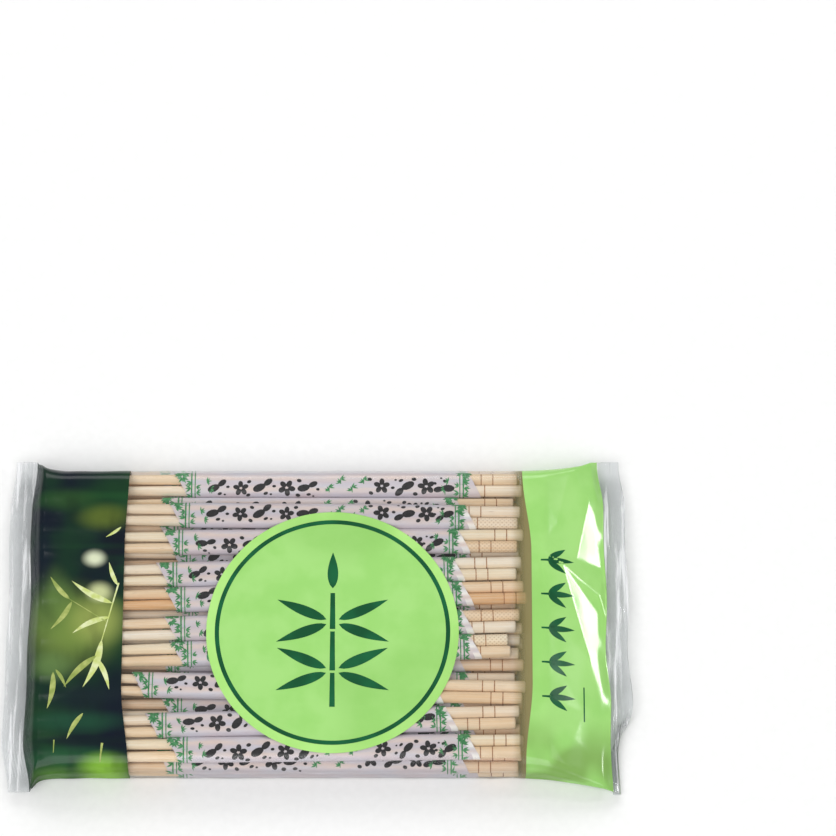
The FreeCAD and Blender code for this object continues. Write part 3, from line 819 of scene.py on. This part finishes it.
def stick_profile(length, rings):
    """Stations from the thick end: distance, radius and whether the face after is scored."""
    flat = STICK_RADIUS - END_ROUND
    rows = [(0.0, 0.02, False), (0.02, flat - 0.35, False)]
    for i in range(5):
        angle = math.pi / 2 * i / 4
        along = 0.12 + END_ROUND * (1 - math.cos(angle))
        rows.append((along, flat + END_ROUND * math.sin(angle), False))
    for ring in rings:
        for shift, depth, scored in (
            (-SCORE_WIDTH / 2 - SCORE_EDGE, 0.0, False),
            (-SCORE_WIDTH / 2, 0.02, True),
            (0.0, SCORE_DEPTH, True),
            (SCORE_WIDTH / 2, 0.02, False),
            (SCORE_WIDTH / 2 + SCORE_EDGE, 0.0, False),
        ):
            rows.append((ring + shift, STICK_RADIUS - depth, scored))
    taper = length - TAPER_LENGTH
    last = rows[-1][0]
    for i in range(1, 7):
        rows.append((last + (taper - last) * i / 6, STICK_RADIUS, False))
    shank = TAPER_LENGTH - TIP_RADIUS
    for i in range(1, 6):
        share = i / 5
        rows.append((taper + shank * share, STICK_RADIUS + (TIP_RADIUS - STICK_RADIUS) * share, False))
    for i in range(1, 6):
        angle = math.pi / 2 * i / 5
        radius = max(TIP_RADIUS * math.cos(angle), 0.02)
        rows.append((length - TIP_RADIUS + TIP_RADIUS * math.sin(angle), radius, False))
    return rows


def make_sticks(node, order):
    """The two sticks of a pair, each with its own shade and slightly uneven line."""
    points, faces, scored, grain, tints, dots = [], [], [], [], [], []
    rng = random.Random(STICK_SEED + order)
    for k, (end, direction, length, rings) in enumerate(PAIRS[node]):
        across = Vector((-direction.y, direction.x, 0.0))
        up = Vector((0.0, 0.0, 1.0))
        first = len(points)
        seed = rng.uniform(0, 900)
        turn = rng.uniform(0, 2 * math.pi)
        # Painted shade: the hidden layers take the darker tints.
        tone = rng.choice(TINTS if node in TOP_PAIRS else TINTS[3:] + SHADED_TINTS)
        if (node, k) == ORANGE_STICK:
            tone = ORANGE_TINT
        shade = rgb(tone)[:3]
        dotted = (node, k) in DOTTED_STICKS
        rows = stick_profile(length, rings)
        for along, radius, _ in rows:
            wobble = 1 + 0.008 * math.sin(along * 0.11 + seed) - 0.008
            centre = end + direction * along
            points += ring_of(centre, across, up, radius * wobble)
            for i in range(STICK_SIDES):
                angle = 2 * math.pi * i / STICK_SIDES + turn
                grain.append((radius * math.cos(angle), radius * math.sin(angle), along + seed))
                tints.append(shade)
                arc = radius * (2 * math.pi * i / STICK_SIDES - math.pi / 2)
                dots.append((arc, along, 1.0 if dotted and along < DOTTED_LENGTH else 0.0))
        faces += grid_faces(len(rows), STICK_SIDES, closed=True, first=first)
        for _, _, dark in rows[:-1]:
            scored += [1 if dark else 0] * STICK_SIDES
    made = make_object("sticks_" + node[-2:], points, faces, [WOOD, SCORED], scored)
    for name, values in (("grain", grain), ("tint", tints), ("dots", dots)):
        add_attribute(made, name, values)
    return finish_piece(made, "bamboo", node)


def sleeve_surface(reach, radius=SLEEVE_RADIUS):
    """The point across a sleeve at a girth distance from the middle of its top, and its normal."""
    side = 1.0 if reach >= 0 else -1.0
    reach = abs(reach)
    if reach <= SLEEVE_HALF_LINE:
        dip = 0.1 * math.cos(math.pi * reach / (2 * SLEEVE_HALF_LINE)) ** 2
        return side * reach, radius - dip, 0.0, 1.0
    angle = (reach - SLEEVE_HALF_LINE) / radius
    if angle <= math.pi:
        return (
            side * (SLEEVE_HALF_LINE + (radius + SLEEVE_SLACK) * math.sin(angle)),
            radius * math.cos(angle),
            side * math.sin(angle),
            math.cos(angle),
        )
    rest = reach - SLEEVE_HALF_LINE - math.pi * radius
    return side * (SLEEVE_HALF_LINE - rest), -radius, 0.0, -1.0


# Which material each face of a sleeve has.
SKIN, BLACK, LEAF, MARGIN = range(4)
LEAF_OUTLINE = ((0, 0), (0.3, -0.42), (0.6, -0.36), (1, 0), (0.6, 0.36), (0.3, 0.42))


def turned(points, x, y, turn):
    """Points of a plane, turned and then moved by x and y."""
    c, n = math.cos(turn), math.sin(turn)
    return [(x + a * c - b * n, y + a * n + b * c) for a, b in points]


class Sleeve:
    """Gathers the points and faces of one sleeve and its print."""

    def __init__(self, node, middle, order):
        self.centre, direction = pair_axis(node)
        self.right = -direction
        self.across = Vector((-self.right.y, self.right.x, 0.0))
        self.start = (middle - self.centre.x) / self.right.x
        self.order = order
        self.points, self.faces, self.inks, self.wrap = [], [], [], []

    def put(self, along, y, z, swell=1.0):
        """A point. along counts from the sleeve's middle towards the thick ends."""
        base = self.centre + self.right * (self.start + along)
        self.points.append(base + self.across * (y * swell) + Vector((0.0, 0.0, z)))
        self.wrap.append((along, y, self.order * 11.0))

    def put_print(self, along, reach):
        """A point of print, at a girth distance from the middle of the sleeve's top."""
        y, z, ny, nz = sleeve_surface(reach)
        self.put(along, y + ny * SLEEVE_INK, z + nz * SLEEVE_INK)

    def add_faces(self, faces, ink):
        self.faces += faces
        self.inks += [ink] * len(faces)

    def add_tube(self, rows, columns, inner):
        """The tube's skin. inner draws the inside face."""
        first = len(self.points)
        radius = SLEEVE_RADIUS - (SLEEVE_WALL if inner else 0.0)
        slant = SLEEVE_SLANT / (2 * (SLEEVE_HALF_LINE + SLEEVE_RADIUS))
        for i in range(rows):
            share = i / (rows - 1) * 2 - 1
            for j in range(columns):
                reach = SLEEVE_GIRTH * ((j + 0.5) / columns - 0.5)
                y, z, _, _ = sleeve_surface(reach, radius)
                ragged = SLEEVE_RAGGED * noise.noise(Vector((reach * 0.6, self.order * 7.1, share * 3)))
                along = share * (SLEEVE_LENGTH / 2 + ragged) - y * slant
                ease = SLEEVE_EASE * noise.noise(Vector((along * 0.12, reach * 0.25, self.order * 3.7)))
                self.put(along, y, z if inner else z + ease, swell=1 + ease * 0.2)
        self.faces += grid_faces(rows, columns, closed=True, first=first, flip=not inner)
        for share in midpoints(rows - 1):
            self.inks += [MARGIN if share > 1 - SLEEVE_MARGIN / SLEEVE_LENGTH else SKIN] * columns
        return first

    def join_ends(self, outer, inner, rows, columns):
        """The film's cut edges, with points of their own so that the skins' shading stays clean."""
        for row in (0, rows - 1):
            first = len(self.points)
            for skin in (outer, inner):
                start = skin + row * columns
                self.points += self.points[start : start + columns]
                self.wrap += self.wrap[start : start + columns]
            self.add_faces(grid_faces(2, columns, closed=True, first=first, flip=row > 0), SKIN)

    def stamp(self, rings, ink):
        """Lays a patch on the sleeve. Its rings of points go from the outline to the middle."""
        first = len(self.points)
        count = len(rings[0])
        for ring in rings:
            for along, reach in ring:
                self.put_print(along, reach)
        faces = grid_faces(len(rings), count, closed=True, first=first)
        self.add_faces(faces + [tuple(range(len(self.points) - count, len(self.points)))], ink)

    def blot(self, along, reach, length, breadth, turn):
        """An oval black patch."""
        angles = [math.pi * i / 6 for i in range(12)]
        rings = []
        for size in (1.0, 0.6, 0.25):
            a, b = size * length / 2, size * breadth / 2
            oval = [(a * math.cos(angle), b * math.sin(angle)) for angle in angles]
            rings.append(turned(oval, along, reach, turn))
        self.stamp(rings, BLACK)

    def leaf(self, along, reach, length, breadth, turn):
        """A pointed green leaf from its stalk."""
        rings = []
        for size in (1.0, 0.3):
            outline = [((0.5 + (a - 0.5) * size) * length, b * size * breadth) for a, b in LEAF_OUTLINE]
            rings.append(turned(outline, along, reach, turn))
        self.stamp(rings, LEAF)

    def line(self, along, low, high, width):
        """A thin green line round the sleeve, from one girth distance to another."""
        first = len(self.points)
        steps = 10
        for i in range(steps + 1):
            for side in (-0.5, 0.5):
                self.put_print(along + side * width, low + (high - low) * i / steps)
        self.add_faces(grid_faces(steps + 1, 2, first=first), LEAF)

    def finish(self, name):
        materials = [SLEEVE, BLACK_INK, GREEN_INK, SLEEVE_END]
        made = make_object(name, self.points, self.faces, materials, self.inks)
        add_attribute(made, "wrap", self.wrap)
        return made


# Places of the dark marks along a sleeve: its distance from the sleeve's middle, its place across
# and whether it is a blossom or a group of brush dabs.
DARK_MARKS = (
    (-46.0, 0.4, "dabs"),
    (-36.0, -0.5, "blossom"),
    (-26.5, 0.7, "dabs"),
    (-16.5, -0.3, "blossom"),
    (-7.5, 0.2, "dabs"),
    (24.0, 0.5, "blossom"),
    (33.5, -0.4, "dabs"),
    (43.0, 0.3, "blossom"),
    (50.5, -0.6, "dabs"),
)


def add_blossom(sleeve, along, reach, size, turn):
    """A brushed blossom of five thick petals and two buds."""
    for i in range(5):
        angle = turn + 2 * math.pi * i / 5
        a = along + 1.55 * size * math.cos(angle)
        b = reach + 1.45 * size * math.sin(angle)
        sleeve.blot(a, b, 2.3 * size, 1.65 * size, angle)
    for side, far in ((-1, 3.5), (1, 3.9)):
        a = along + far * size * math.cos(turn + 0.4)
        sleeve.blot(a, reach + side * 2.3 * size, 1.5 * size, 1.1 * size, turn)


def add_dabs(sleeve, along, reach, size, turn):
    """Broad brush dabs with a few drops beside them."""
    for a, b, length, breadth, angle in (
        (-1.3, -0.6, 4.2, 2.4, 20),
        (1.6, 1.0, 3.2, 1.9, 35),
        (3.4, -0.5, 1.2, 0.9, 0),
        (0.6, -2.5, 1.5, 0.9, 15),
        (2.2, -2.9, 0.8, 0.6, 0),
    ):
        place = turned([(a * size, b * size)], along, reach, turn)[0]
        sleeve.blot(*place, length * size, breadth * size, turn + math.radians(angle))


def add_spray(sleeve, along, reach, count, length, breadth, turn, rng):
    """Leaves that spread from one point round a direction."""
    for i in range(count):
        angle = turn + (i - (count - 1) / 2) * 0.62 + rng.uniform(-0.15, 0.15)
        sleeve.leaf(along, reach, length * rng.uniform(0.75, 1.1), breadth, angle)


def add_bamboo(sleeve, side, rng):
    """Bamboo across one end of a sleeve: thin stems with joints, a crown in a corner and sprays."""
    edge = side * (SLEEVE_LENGTH / 2 - 4.6)
    inwards = math.pi if side > 0 else 0.0
    for offset, width in ((0.0, 0.65), (-side * 1.5, 0.45)):
        for low, high in ((-7.8, -4.4), (-4.2, -0.6), (-0.4, 3.3), (3.5, 7.4)):
            sleeve.line(edge + offset, low, high, width)
            sleeve.line(edge + offset, high + 0.02, high + 0.18, width * 2.2)
    corner = side * SLEEVE_LENGTH / 2 - 3.6 * SLEEVE_SLANT / 10.6
    for distance, reach in ((1.4, 4.2), (2.6, 2.6), (1.9, 5.6), (3.4, 4.6)):
        add_spray(sleeve, corner - side * distance, reach, 6, 2.6, 1.15, rng.uniform(0, 6.28), rng)
    for reach in (-5.6, -2.2, 0.6):
        turn = inwards + math.pi + rng.uniform(-0.5, 0.5)
        add_spray(sleeve, edge + side * 0.3, reach, 3, 2.9, 0.95, turn, rng)
    for reach in (-4.0, -1.4):
        turn = inwards + rng.uniform(-0.5, 0.5)
        add_spray(sleeve, edge - side * 2.0, reach, 3, 2.6, 0.85, turn, rng)
    for distance, reach in ((6.4, 0.9), (8.0, -2.6)):
        turn = inwards + rng.uniform(-0.6, 0.6)
        add_spray(sleeve, edge - side * distance, reach, 5, 2.3, 0.7, turn, rng)


def print_sleeve(sleeve, rng):
    """Bamboo at both ends, dark marks along the halves and rows of small leaves in the middle."""
    shift = rng.uniform(-1.5, 1.5)
    lift = rng.choice((-1.6, -0.6, 0.4, 1.2))
    for place, reach, kind in DARK_MARKS:
        size = rng.uniform(1.2, 1.4)
        turn = rng.uniform(-0.5, 0.5) + (math.pi if place > 0 else 0.0)
        add = add_blossom if kind == "blossom" else add_dabs
        add(sleeve, place + shift, reach + lift, size, turn)
    for side in (-1, 1):
        add_bamboo(sleeve, side, rng)
    for column in range(4):
        along = shift + 1.0 + column * 4.9
        reach = (2.0 if column % 2 else -1.6) + lift * 0.4
        sleeve.line(along + 0.6, reach - 1.6, reach + 1.2, 0.4)
        add_spray(sleeve, along + 0.6, reach + 0.6, 3, 2.6, 0.85, 0.4, rng)
        add_spray(sleeve, along + 0.6, reach - 0.8, 3, 2.4, 0.8, 2.7, rng)


def build_sleeve(name, pair, own, order, fine):
    """One sleeve round a pair. own is the points of its solid."""
    sleeve = Sleeve(pair, (own[:, 0].max() + own[:, 0].min()) / 2, order)
    rows, columns = (44, 44) if fine else (18, 32)
    outer = sleeve.add_tube(rows, columns, inner=False)
    inner = sleeve.add_tube(rows, columns, inner=True)
    sleeve.join_ends(outer, inner, rows, columns)
    print_sleeve(sleeve, random.Random(SLEEVE_SEED + order))
    return sleeve.finish(name)


def make_sleeves():
    for order, pair in enumerate(TOP_PAIRS):
        node = f"sleeve_{order + 1:02d}"
        made = build_sleeve("wrap_" + node[-2:], pair, node_points(node), order, True)
        finish_piece(made, "sleeve_film", node)
    layers = (("middle_sleeves", MIDDLE_PAIRS, 20), ("bottom_sleeves", BOTTOM_PAIRS, 40))
    for node, pairs, base in layers:
        points = node_points(node)
        made = []
        for order, pair in enumerate(pairs):
            own = points[np.abs(points[:, 1] - pair_axis(pair)[0].y) < SLEEVE_REACH]
            made.append(build_sleeve(f"{node}_{order}", pair, own, base + order, False))
        chosen = {"active_object": made[0], "selected_editable_objects": made, "selected_objects": made}
        with bpy.context.temp_override(**chosen):
            bpy.ops.object.join()
        made[0].name = node.replace("sleeves", "wraps")
        finish_piece(made[0], "sleeve_film", node)


def film_rows():
    """Where the film's rows lie: close together on the seals and shoulders, wider on the body."""
    stretches = (
        (FILM_LOW.x, TIP_SEAL, 0.2),
        (TIP_SEAL, -78.0, 0.9),
        (-78.0, 88.0, 1.7),
        (88.0, END_SEAL, 0.7),
        (END_SEAL, FILM_HIGH.x, 0.2),
    )
    return np.concatenate([np.arange(*stretch) for stretch in stretches] + [[FILM_HIGH.x]])


def make_film():
    xs = film_rows()
    points = film_points(xs, 0.0)
    for row, x in ((0, FILM_LOW.x), (len(xs) - 1, FILM_HIGH.x)):
        y = points[row, :, 1]
        level = np.full_like(y, x)
        points[row, :, 0], drop = curl(level + end_shift(level, y), y, 0.0)
        points[row, :, 2] = np.maximum(SEAL_LEVEL + seal_relief(level, y) - drop, FILM_CLEARANCE)
    rows, columns = points.shape[:2]
    faces = grid_faces(rows, columns, closed=True)
    middles = (xs[:-1] + xs[1:]) / 2
    sealed = (middles < TIP_SEAL) | (middles > END_SEAL)
    materials = np.repeat(sealed.astype(int), columns)
    flat = points.reshape(-1, 3)
    strip, strip_faces = fin_strip(len(flat))
    faces += strip_faces
    materials = np.concatenate([materials, np.zeros(len(strip_faces), int)])
    made = make_object("film", np.concatenate([flat, strip]), faces, [FILM, SEAL_FILM], materials)
    return finish_piece(made, "clear_film", "film_wrapper")


def fin_strip(first):
    """The fin seal: a flat crimped strip in the groove of the underside."""
    start, end = TIP_SEAL + 0.5, END_SEAL - 0.5
    xs = np.append(np.arange(start, end, 1.3), end)
    _, low, _, groove = profile_at(xs)
    shared = seal_relief(xs, np.full_like(xs, FIN_PLACE))
    crimp = 0.04 * np.sin(xs * 2.4)
    columns = []
    upper = ((-1.0, 0.0), (-0.95, 1.0), (0.95, 1.0), (1.0, 0.0))
    outline = (*upper, (0.6, -0.02), (0.0, 0.0), (-0.6, -0.02))
    for across, lift in outline:
        y = FIN_PLACE + across * FIN_WIDTH / 2 + 0.25 * np.sin(xs / 23.0)
        z = low + groove - FIN_THICKNESS * (1 - lift * 0.85) + shared + crimp * (1 - lift)
        columns.append(np.stack([xs, y, np.maximum(z, 0.0)], axis=-1))
    points = np.stack(columns, axis=1)
    faces = grid_faces(len(xs), len(outline), closed=True, first=first, flip=True)
    return points.reshape(-1, 3), faces


def make_band(node, slot, material, step, inner, shift, far_bend, near_bend):
    """A printed band round the pack, on the film, open at the fin seal.

    inner is 0 where its inner edge is at its low end along X, and 1 where it is at the high end. That
    edge moves by shift, and by far_bend and near_bend more at the far and near side."""
    ends = [corner.x for corner in box_mm(node)]
    low = max(ends[0] - BAND_MARGIN, TIP_SEAL)
    high = min(ends[1] + BAND_MARGIN, END_SEAL)
    fine = np.arange(low, high + 0.01, BAND_STEP)
    surface = film_points(fine, BAND_INK)
    xs = np.append(np.arange(*ends, step), ends[1])
    rows, columns = len(xs), surface.shape[1]
    share = ((xs - ends[1 - inner]) / (ends[inner] - ends[1 - inner])) ** 2
    points = np.empty((rows, columns, 3))
    for j in range(columns):
        y = surface[len(fine) // 2, j, 1]
        bend = shift + smoothstep(y, *BENT) * far_bend + smoothstep(-y, *BENT) * near_bend
        for k in range(3):
            points[:, j, k] = np.interp(xs + share * bend, fine, surface[:, j, k])
    points = points.reshape(-1, 3)
    faces = []
    for face in grid_faces(rows, columns, closed=True):
        middle = points[list(face)].mean(axis=0)
        by_fin = middle[2] < SEAL_LEVEL and abs(middle[1] - FIN_PLACE) < FIN_WIDTH / 2 + 0.5
        column = face[0] % columns
        if not (by_fin and (column < BOTTOM_POINTS or column >= columns - BOTTOM_POINTS)):
            faces.append(face)
    return finish_piece(make_object(node + "_print", points, faces, [material]), slot, node)


def polar_patch(start, end, rings, offset):
    """A disc or ring of print on the top of the film, from one radius to another."""
    points = []
    for i in range(rings + 1):
        radius = start + (end - start) * i / rings
        for j in range(LABEL_SIDES):
            angle = 2 * math.pi * j / LABEL_SIDES
            x = LABEL_CENTRE.x + radius * math.cos(angle)
            points.append((x, LABEL_CENTRE.y + radius * math.sin(angle)))
    x, y = np.array(points).T
    return top_at(x, y, offset), grid_faces(rings + 1, LABEL_SIDES, closed=True, flip=True)


def make_label():
    rim = LABEL_RADIUS - LABEL_RIM
    points, faces = polar_patch(0.4, LABEL_RADIUS, LABEL_RINGS, LABEL_INK)
    faces.append(tuple(range(LABEL_SIDES)))
    materials = []
    for share in midpoints(LABEL_RINGS):
        materials += [int(share > rim / LABEL_RADIUS)] * LABEL_SIDES
    made = make_object("label_disc", points, faces, [GREEN, RIM_GREEN], materials + [0])
    finish_piece(made, "green_print", "front_label")
    points, faces = polar_patch(rim - LABEL_RING, rim, 3, MOTIF_INK)
    made = make_object("label_ring", points, faces, [DARK_GREEN])
    finish_piece(made, "dark_print", "front_label_ring")


class TopPrint:
    """Flat shapes laid on top of the film, gathered into one piece."""

    def __init__(self, offset):
        self.offset = offset
        self.points, self.faces, self.inks = [], [], []

    def add_strip(self, points, columns, ink):
        """Joins rows of points."""
        faces = turned_over(grid_faces(len(points) // columns, columns, first=len(self.points)))
        self.points += points
        self.faces += faces
        self.inks += [ink] * len(faces)

    def leaf(self, x, y, length, breadth, turn, ink=0, bend=0.0, rows=12):
        """A leaf that tapers to a point, with an optional bend."""
        outline = []
        for i in range(rows + 1):
            share = i / rows
            width = breadth * (math.sin(math.pi * share**0.75) ** 0.9 if 0 < share < 1 else 0.02)
            sway = bend * math.sin(math.pi * share)
            outline += [(length * share, sway + side * width) for side in (-0.5, 0.0, 0.5)]
        self.add_strip(turned(outline, x, y, turn), 3, ink)

    def stroke(self, start, end, width, ink=0, end_width=None, rows=16):
        """A straight stem."""
        end_width = width if end_width is None else end_width
        length = math.dist(start, end)
        turn = math.atan2(end[1] - start[1], end[0] - start[0])
        outline = []
        for i in range(rows + 1):
            share = i / rows
            half = (width + (end_width - width) * share) / 2
            outline += [(length * share, -half), (length * share, half)]
        self.add_strip(turned(outline, *start, turn), 2, ink)

    def finish(self, name, materials):
        x, y = np.array(self.points).T
        return make_object(name, top_at(x, y, self.offset), self.faces, materials, self.inks)


def make_motif():
    """A sprig of bamboo on the label, as the solid has it."""
    shapes = TopPrint(MOTIF_INK)
    radius = LABEL_RADIUS

    def on_label(x, y):
        return LABEL_CENTRE.x + radius * x, LABEL_CENTRE.y + radius * y

    for low, high in ((-0.62, -0.34), (-0.32, 0.0), (0.02, 0.32)):
        shapes.stroke(on_label(0, low), on_label(0, high), radius * 0.044, end_width=radius * 0.036)
    for level in (-0.32, 0.08):
        for side in (-1, 1):
            for rise, lift in ((-0.35, -0.02), (0.4, 0.02)):
                angle = math.pi / 2 - side * (math.pi / 2 - rise)
                x, y = on_label(side * 0.05, level + lift)
                shapes.leaf(x, y, radius * 0.42, radius * 0.085, angle)
    x, y = on_label(0.0, 0.36)
    shapes.leaf(x, y, radius * 0.3, radius * 0.085, math.pi / 2)
    made = shapes.finish("label_motif", [DARK_GREEN])
    finish_piece(made, "dark_print", "front_label_motif")


def make_grove_leaves():
    """Pale bamboo leaves in front of the grove."""
    shapes = TopPrint(LEAVES_INK)
    shapes.stroke((-83.5, 14.5), (-92.0, -18.5), 0.7, ink=0, end_width=0.3)
    shapes.stroke((-88.5, -2.5), (-104.0, 7.5), 0.5, ink=1, end_width=0.2)
    for x, y, length, breadth, degrees, ink, bend in (
        (-86.0, 5.5, 20.0, 2.6, 150, 0, 1.0),
        (-87.0, -0.5, 17.0, 2.4, 205, 0, -1.2),
        (-90.0, -10.5, 22.0, 3.0, 250, 0, 1.5),
        (-92.0, -18.5, 15.0, 2.2, 292, 0, 0.8),
        (-92.0, -17.5, 19.0, 2.6, 225, 1, -1.0),
        (-104.0, 7.5, 13.0, 2.0, 130, 1, 0.6),
        (-103.0, 6.5, 15.0, 2.2, 235, 1, 0.8),
        (-84.0, 13.5, 11.0, 1.8, 110, 0, 0.5),
        (-110.0, -24.5, 16.0, 2.4, 262, 1, 0.9),
        (-109.0, -23.5, 9.0, 1.5, 300, 1, 0.4),
        (-97.0, -42.5, 13.0, 2.0, 240, 1, -0.6),
        (-83.0, 39.5, 8.0, 1.3, 215, 0, 0.3),
    ):
        shapes.leaf(x, y, length, breadth, math.radians(degrees), ink=ink, bend=bend)
    shapes.stroke((-88.7, -55.5), (-89.6, -65.0), 1.0, ink=1, end_width=0.4)
    shapes.stroke((-108.8, -54.0), (-108.9, -59.5), 0.6, ink=1, end_width=0.3)
    made = shapes.finish("grove_leaves", [LEAF_PALE, LEAF_DIM])
    return finish_piece(made, "leaf_print")


def make_band_marks():
    """A column of leaf fans and a thin line on the green band."""
    shapes = TopPrint(MARKS_INK)
    for i in range(5):
        y = 25.0 - 15.0 * i
        for turn, length in ((-0.6, 9.0), (0.0, 11.0), (0.6, 9.0)):
            shapes.leaf(97.5, y + turn * 0.7, length, 2.6, turn, rows=10)
        shapes.stroke((94.4, y), (97.8, y), 0.7, end_width=1.0, rows=4)
    shapes.stroke((112.0, -29.5), (112.0, -44.5), 0.5, rows=20)
    made = shapes.finish("band_marks", [DARK_GREEN])
    return finish_piece(made, "dark_print")


def back_patch(node, radius, material, slot):
    """A flat printed field on the underside, with round corners."""
    low, high = box_mm(node)
    centre = (low + high) / 2
    reach = (high - low) / 2
    outline = []
    for start, sx, sy in ((0, 1, 1), (90, -1, 1), (180, -1, -1), (270, 1, -1)):
        for i in range(9):
            angle = math.radians(start + 90 * i / 8)
            x = sx * (reach.x - radius) + radius * math.cos(angle)
            outline.append((x, sy * (reach.y - radius) + radius * math.sin(angle)))
    sizes = (1.0, 0.66, 0.33, 0.04)
    points = [(centre.x + x * size, centre.y + y * size, 0.0) for size in sizes for x, y in outline]
    faces = turned_over(grid_faces(len(sizes), len(outline), closed=True))
    faces.append(tuple(reversed(range(len(points) - len(outline), len(points)))))
    return finish_piece(make_object(node + "_print", points, faces, [material]), slot, node)


def make_stage():
    mesh = bpy.data.meshes.new("floor")
    corners = [(-3.0, -3.0, 0.0), (3.0, -3.0, 0.0), (3.0, 3.0, 0.0), (-3.0, 3.0, 0.0)]
    mesh.from_pydata(corners, [], [(0, 1, 2, 3)])
    mesh.materials.append(floor_material())
    floor = bpy.data.objects.new("floor", mesh)
    floor.location.z = -0.0002
    bpy.context.scene.collection.objects.link(floor)


def add_lamp(name, place, target, size, power):
    """A rectangular lamp that shines from a place towards a target, in metres and watts."""
    data = bpy.data.lights.new(name, "AREA")
    data.shape = "RECTANGLE"
    data.size, data.size_y = size
    data.energy = power
    lamp = bpy.data.objects.new(name, data)
    bpy.context.scene.collection.objects.link(lamp)
    lamp.location = place
    lamp.rotation_euler = (Vector(target) - Vector(place)).to_track_quat("-Z", "Y").to_euler()


def add_light():
    """Soft light from both sides of the mirror direction, and a compact box for the creases."""
    for lamp in LAMPS:
        add_lamp(*lamp)
    world = bpy.data.worlds.new("light")
    world.use_nodes = True
    back = world.node_tree.nodes["Background"]
    back.inputs["Color"].default_value = SKY_COLOUR
    back.inputs["Strength"].default_value = SKY_STRENGTH
    bpy.context.scene.world = world


def add_camera():
    """The photograph's camera: it looks along +Y and down, with the label left of the middle and low."""
    data = bpy.data.cameras.new("camera")
    data.sensor_width = 36.0
    data.lens = FOCAL_PIXELS / PHOTO_SIDE * data.sensor_width
    data.clip_start = 0.05
    data.clip_end = 20.0
    camera = bpy.data.objects.new("camera", data)
    bpy.context.scene.collection.objects.link(camera)
    elevation = math.radians(CAMERA_ELEVATION)
    forward = Vector((0.0, math.cos(elevation), -math.sin(elevation)))
    up = Vector((0.0, math.sin(elevation), math.cos(elevation)))
    right = Vector((1.0, 0.0, 0.0))
    shift_x = (LABEL_PIXEL[0] - PHOTO_SIDE / 2) / FOCAL_PIXELS * LABEL_DEPTH
    shift_y = (PHOTO_SIDE / 2 - LABEL_PIXEL[1]) / FOCAL_PIXELS * LABEL_DEPTH
    target = Vector((LABEL_CENTRE.x, LABEL_CENTRE.y, FILM_TOP))
    place = target - forward * LABEL_DEPTH - right * shift_x - up * shift_y
    camera.location = place * MM
    camera.rotation_euler = forward.to_track_quat("-Z", "Y").to_euler()
    bpy.context.scene.camera = camera


for order, node in enumerate(PAIR_NAMES):
    make_sticks(node, order)
make_sleeves()
make_film()
make_band("leaf_band", "leaf_print", GROVE, 0.7, 1, -0.5, 1.4, 3.6)
make_band("green_band", "green_print", BAND_GREEN, 0.5, 0, 1.2, -3.6, -3.0)
make_label()
make_motif()
make_grove_leaves()
make_band_marks()
back_patch("back_label", 9.0, GREEN, "green_print")
back_patch("code_patch", 1.0, WHITE, "white_print")
make_stage()
add_light()
add_camera()

bpy.context.scene.view_settings.view_transform = "Standard"
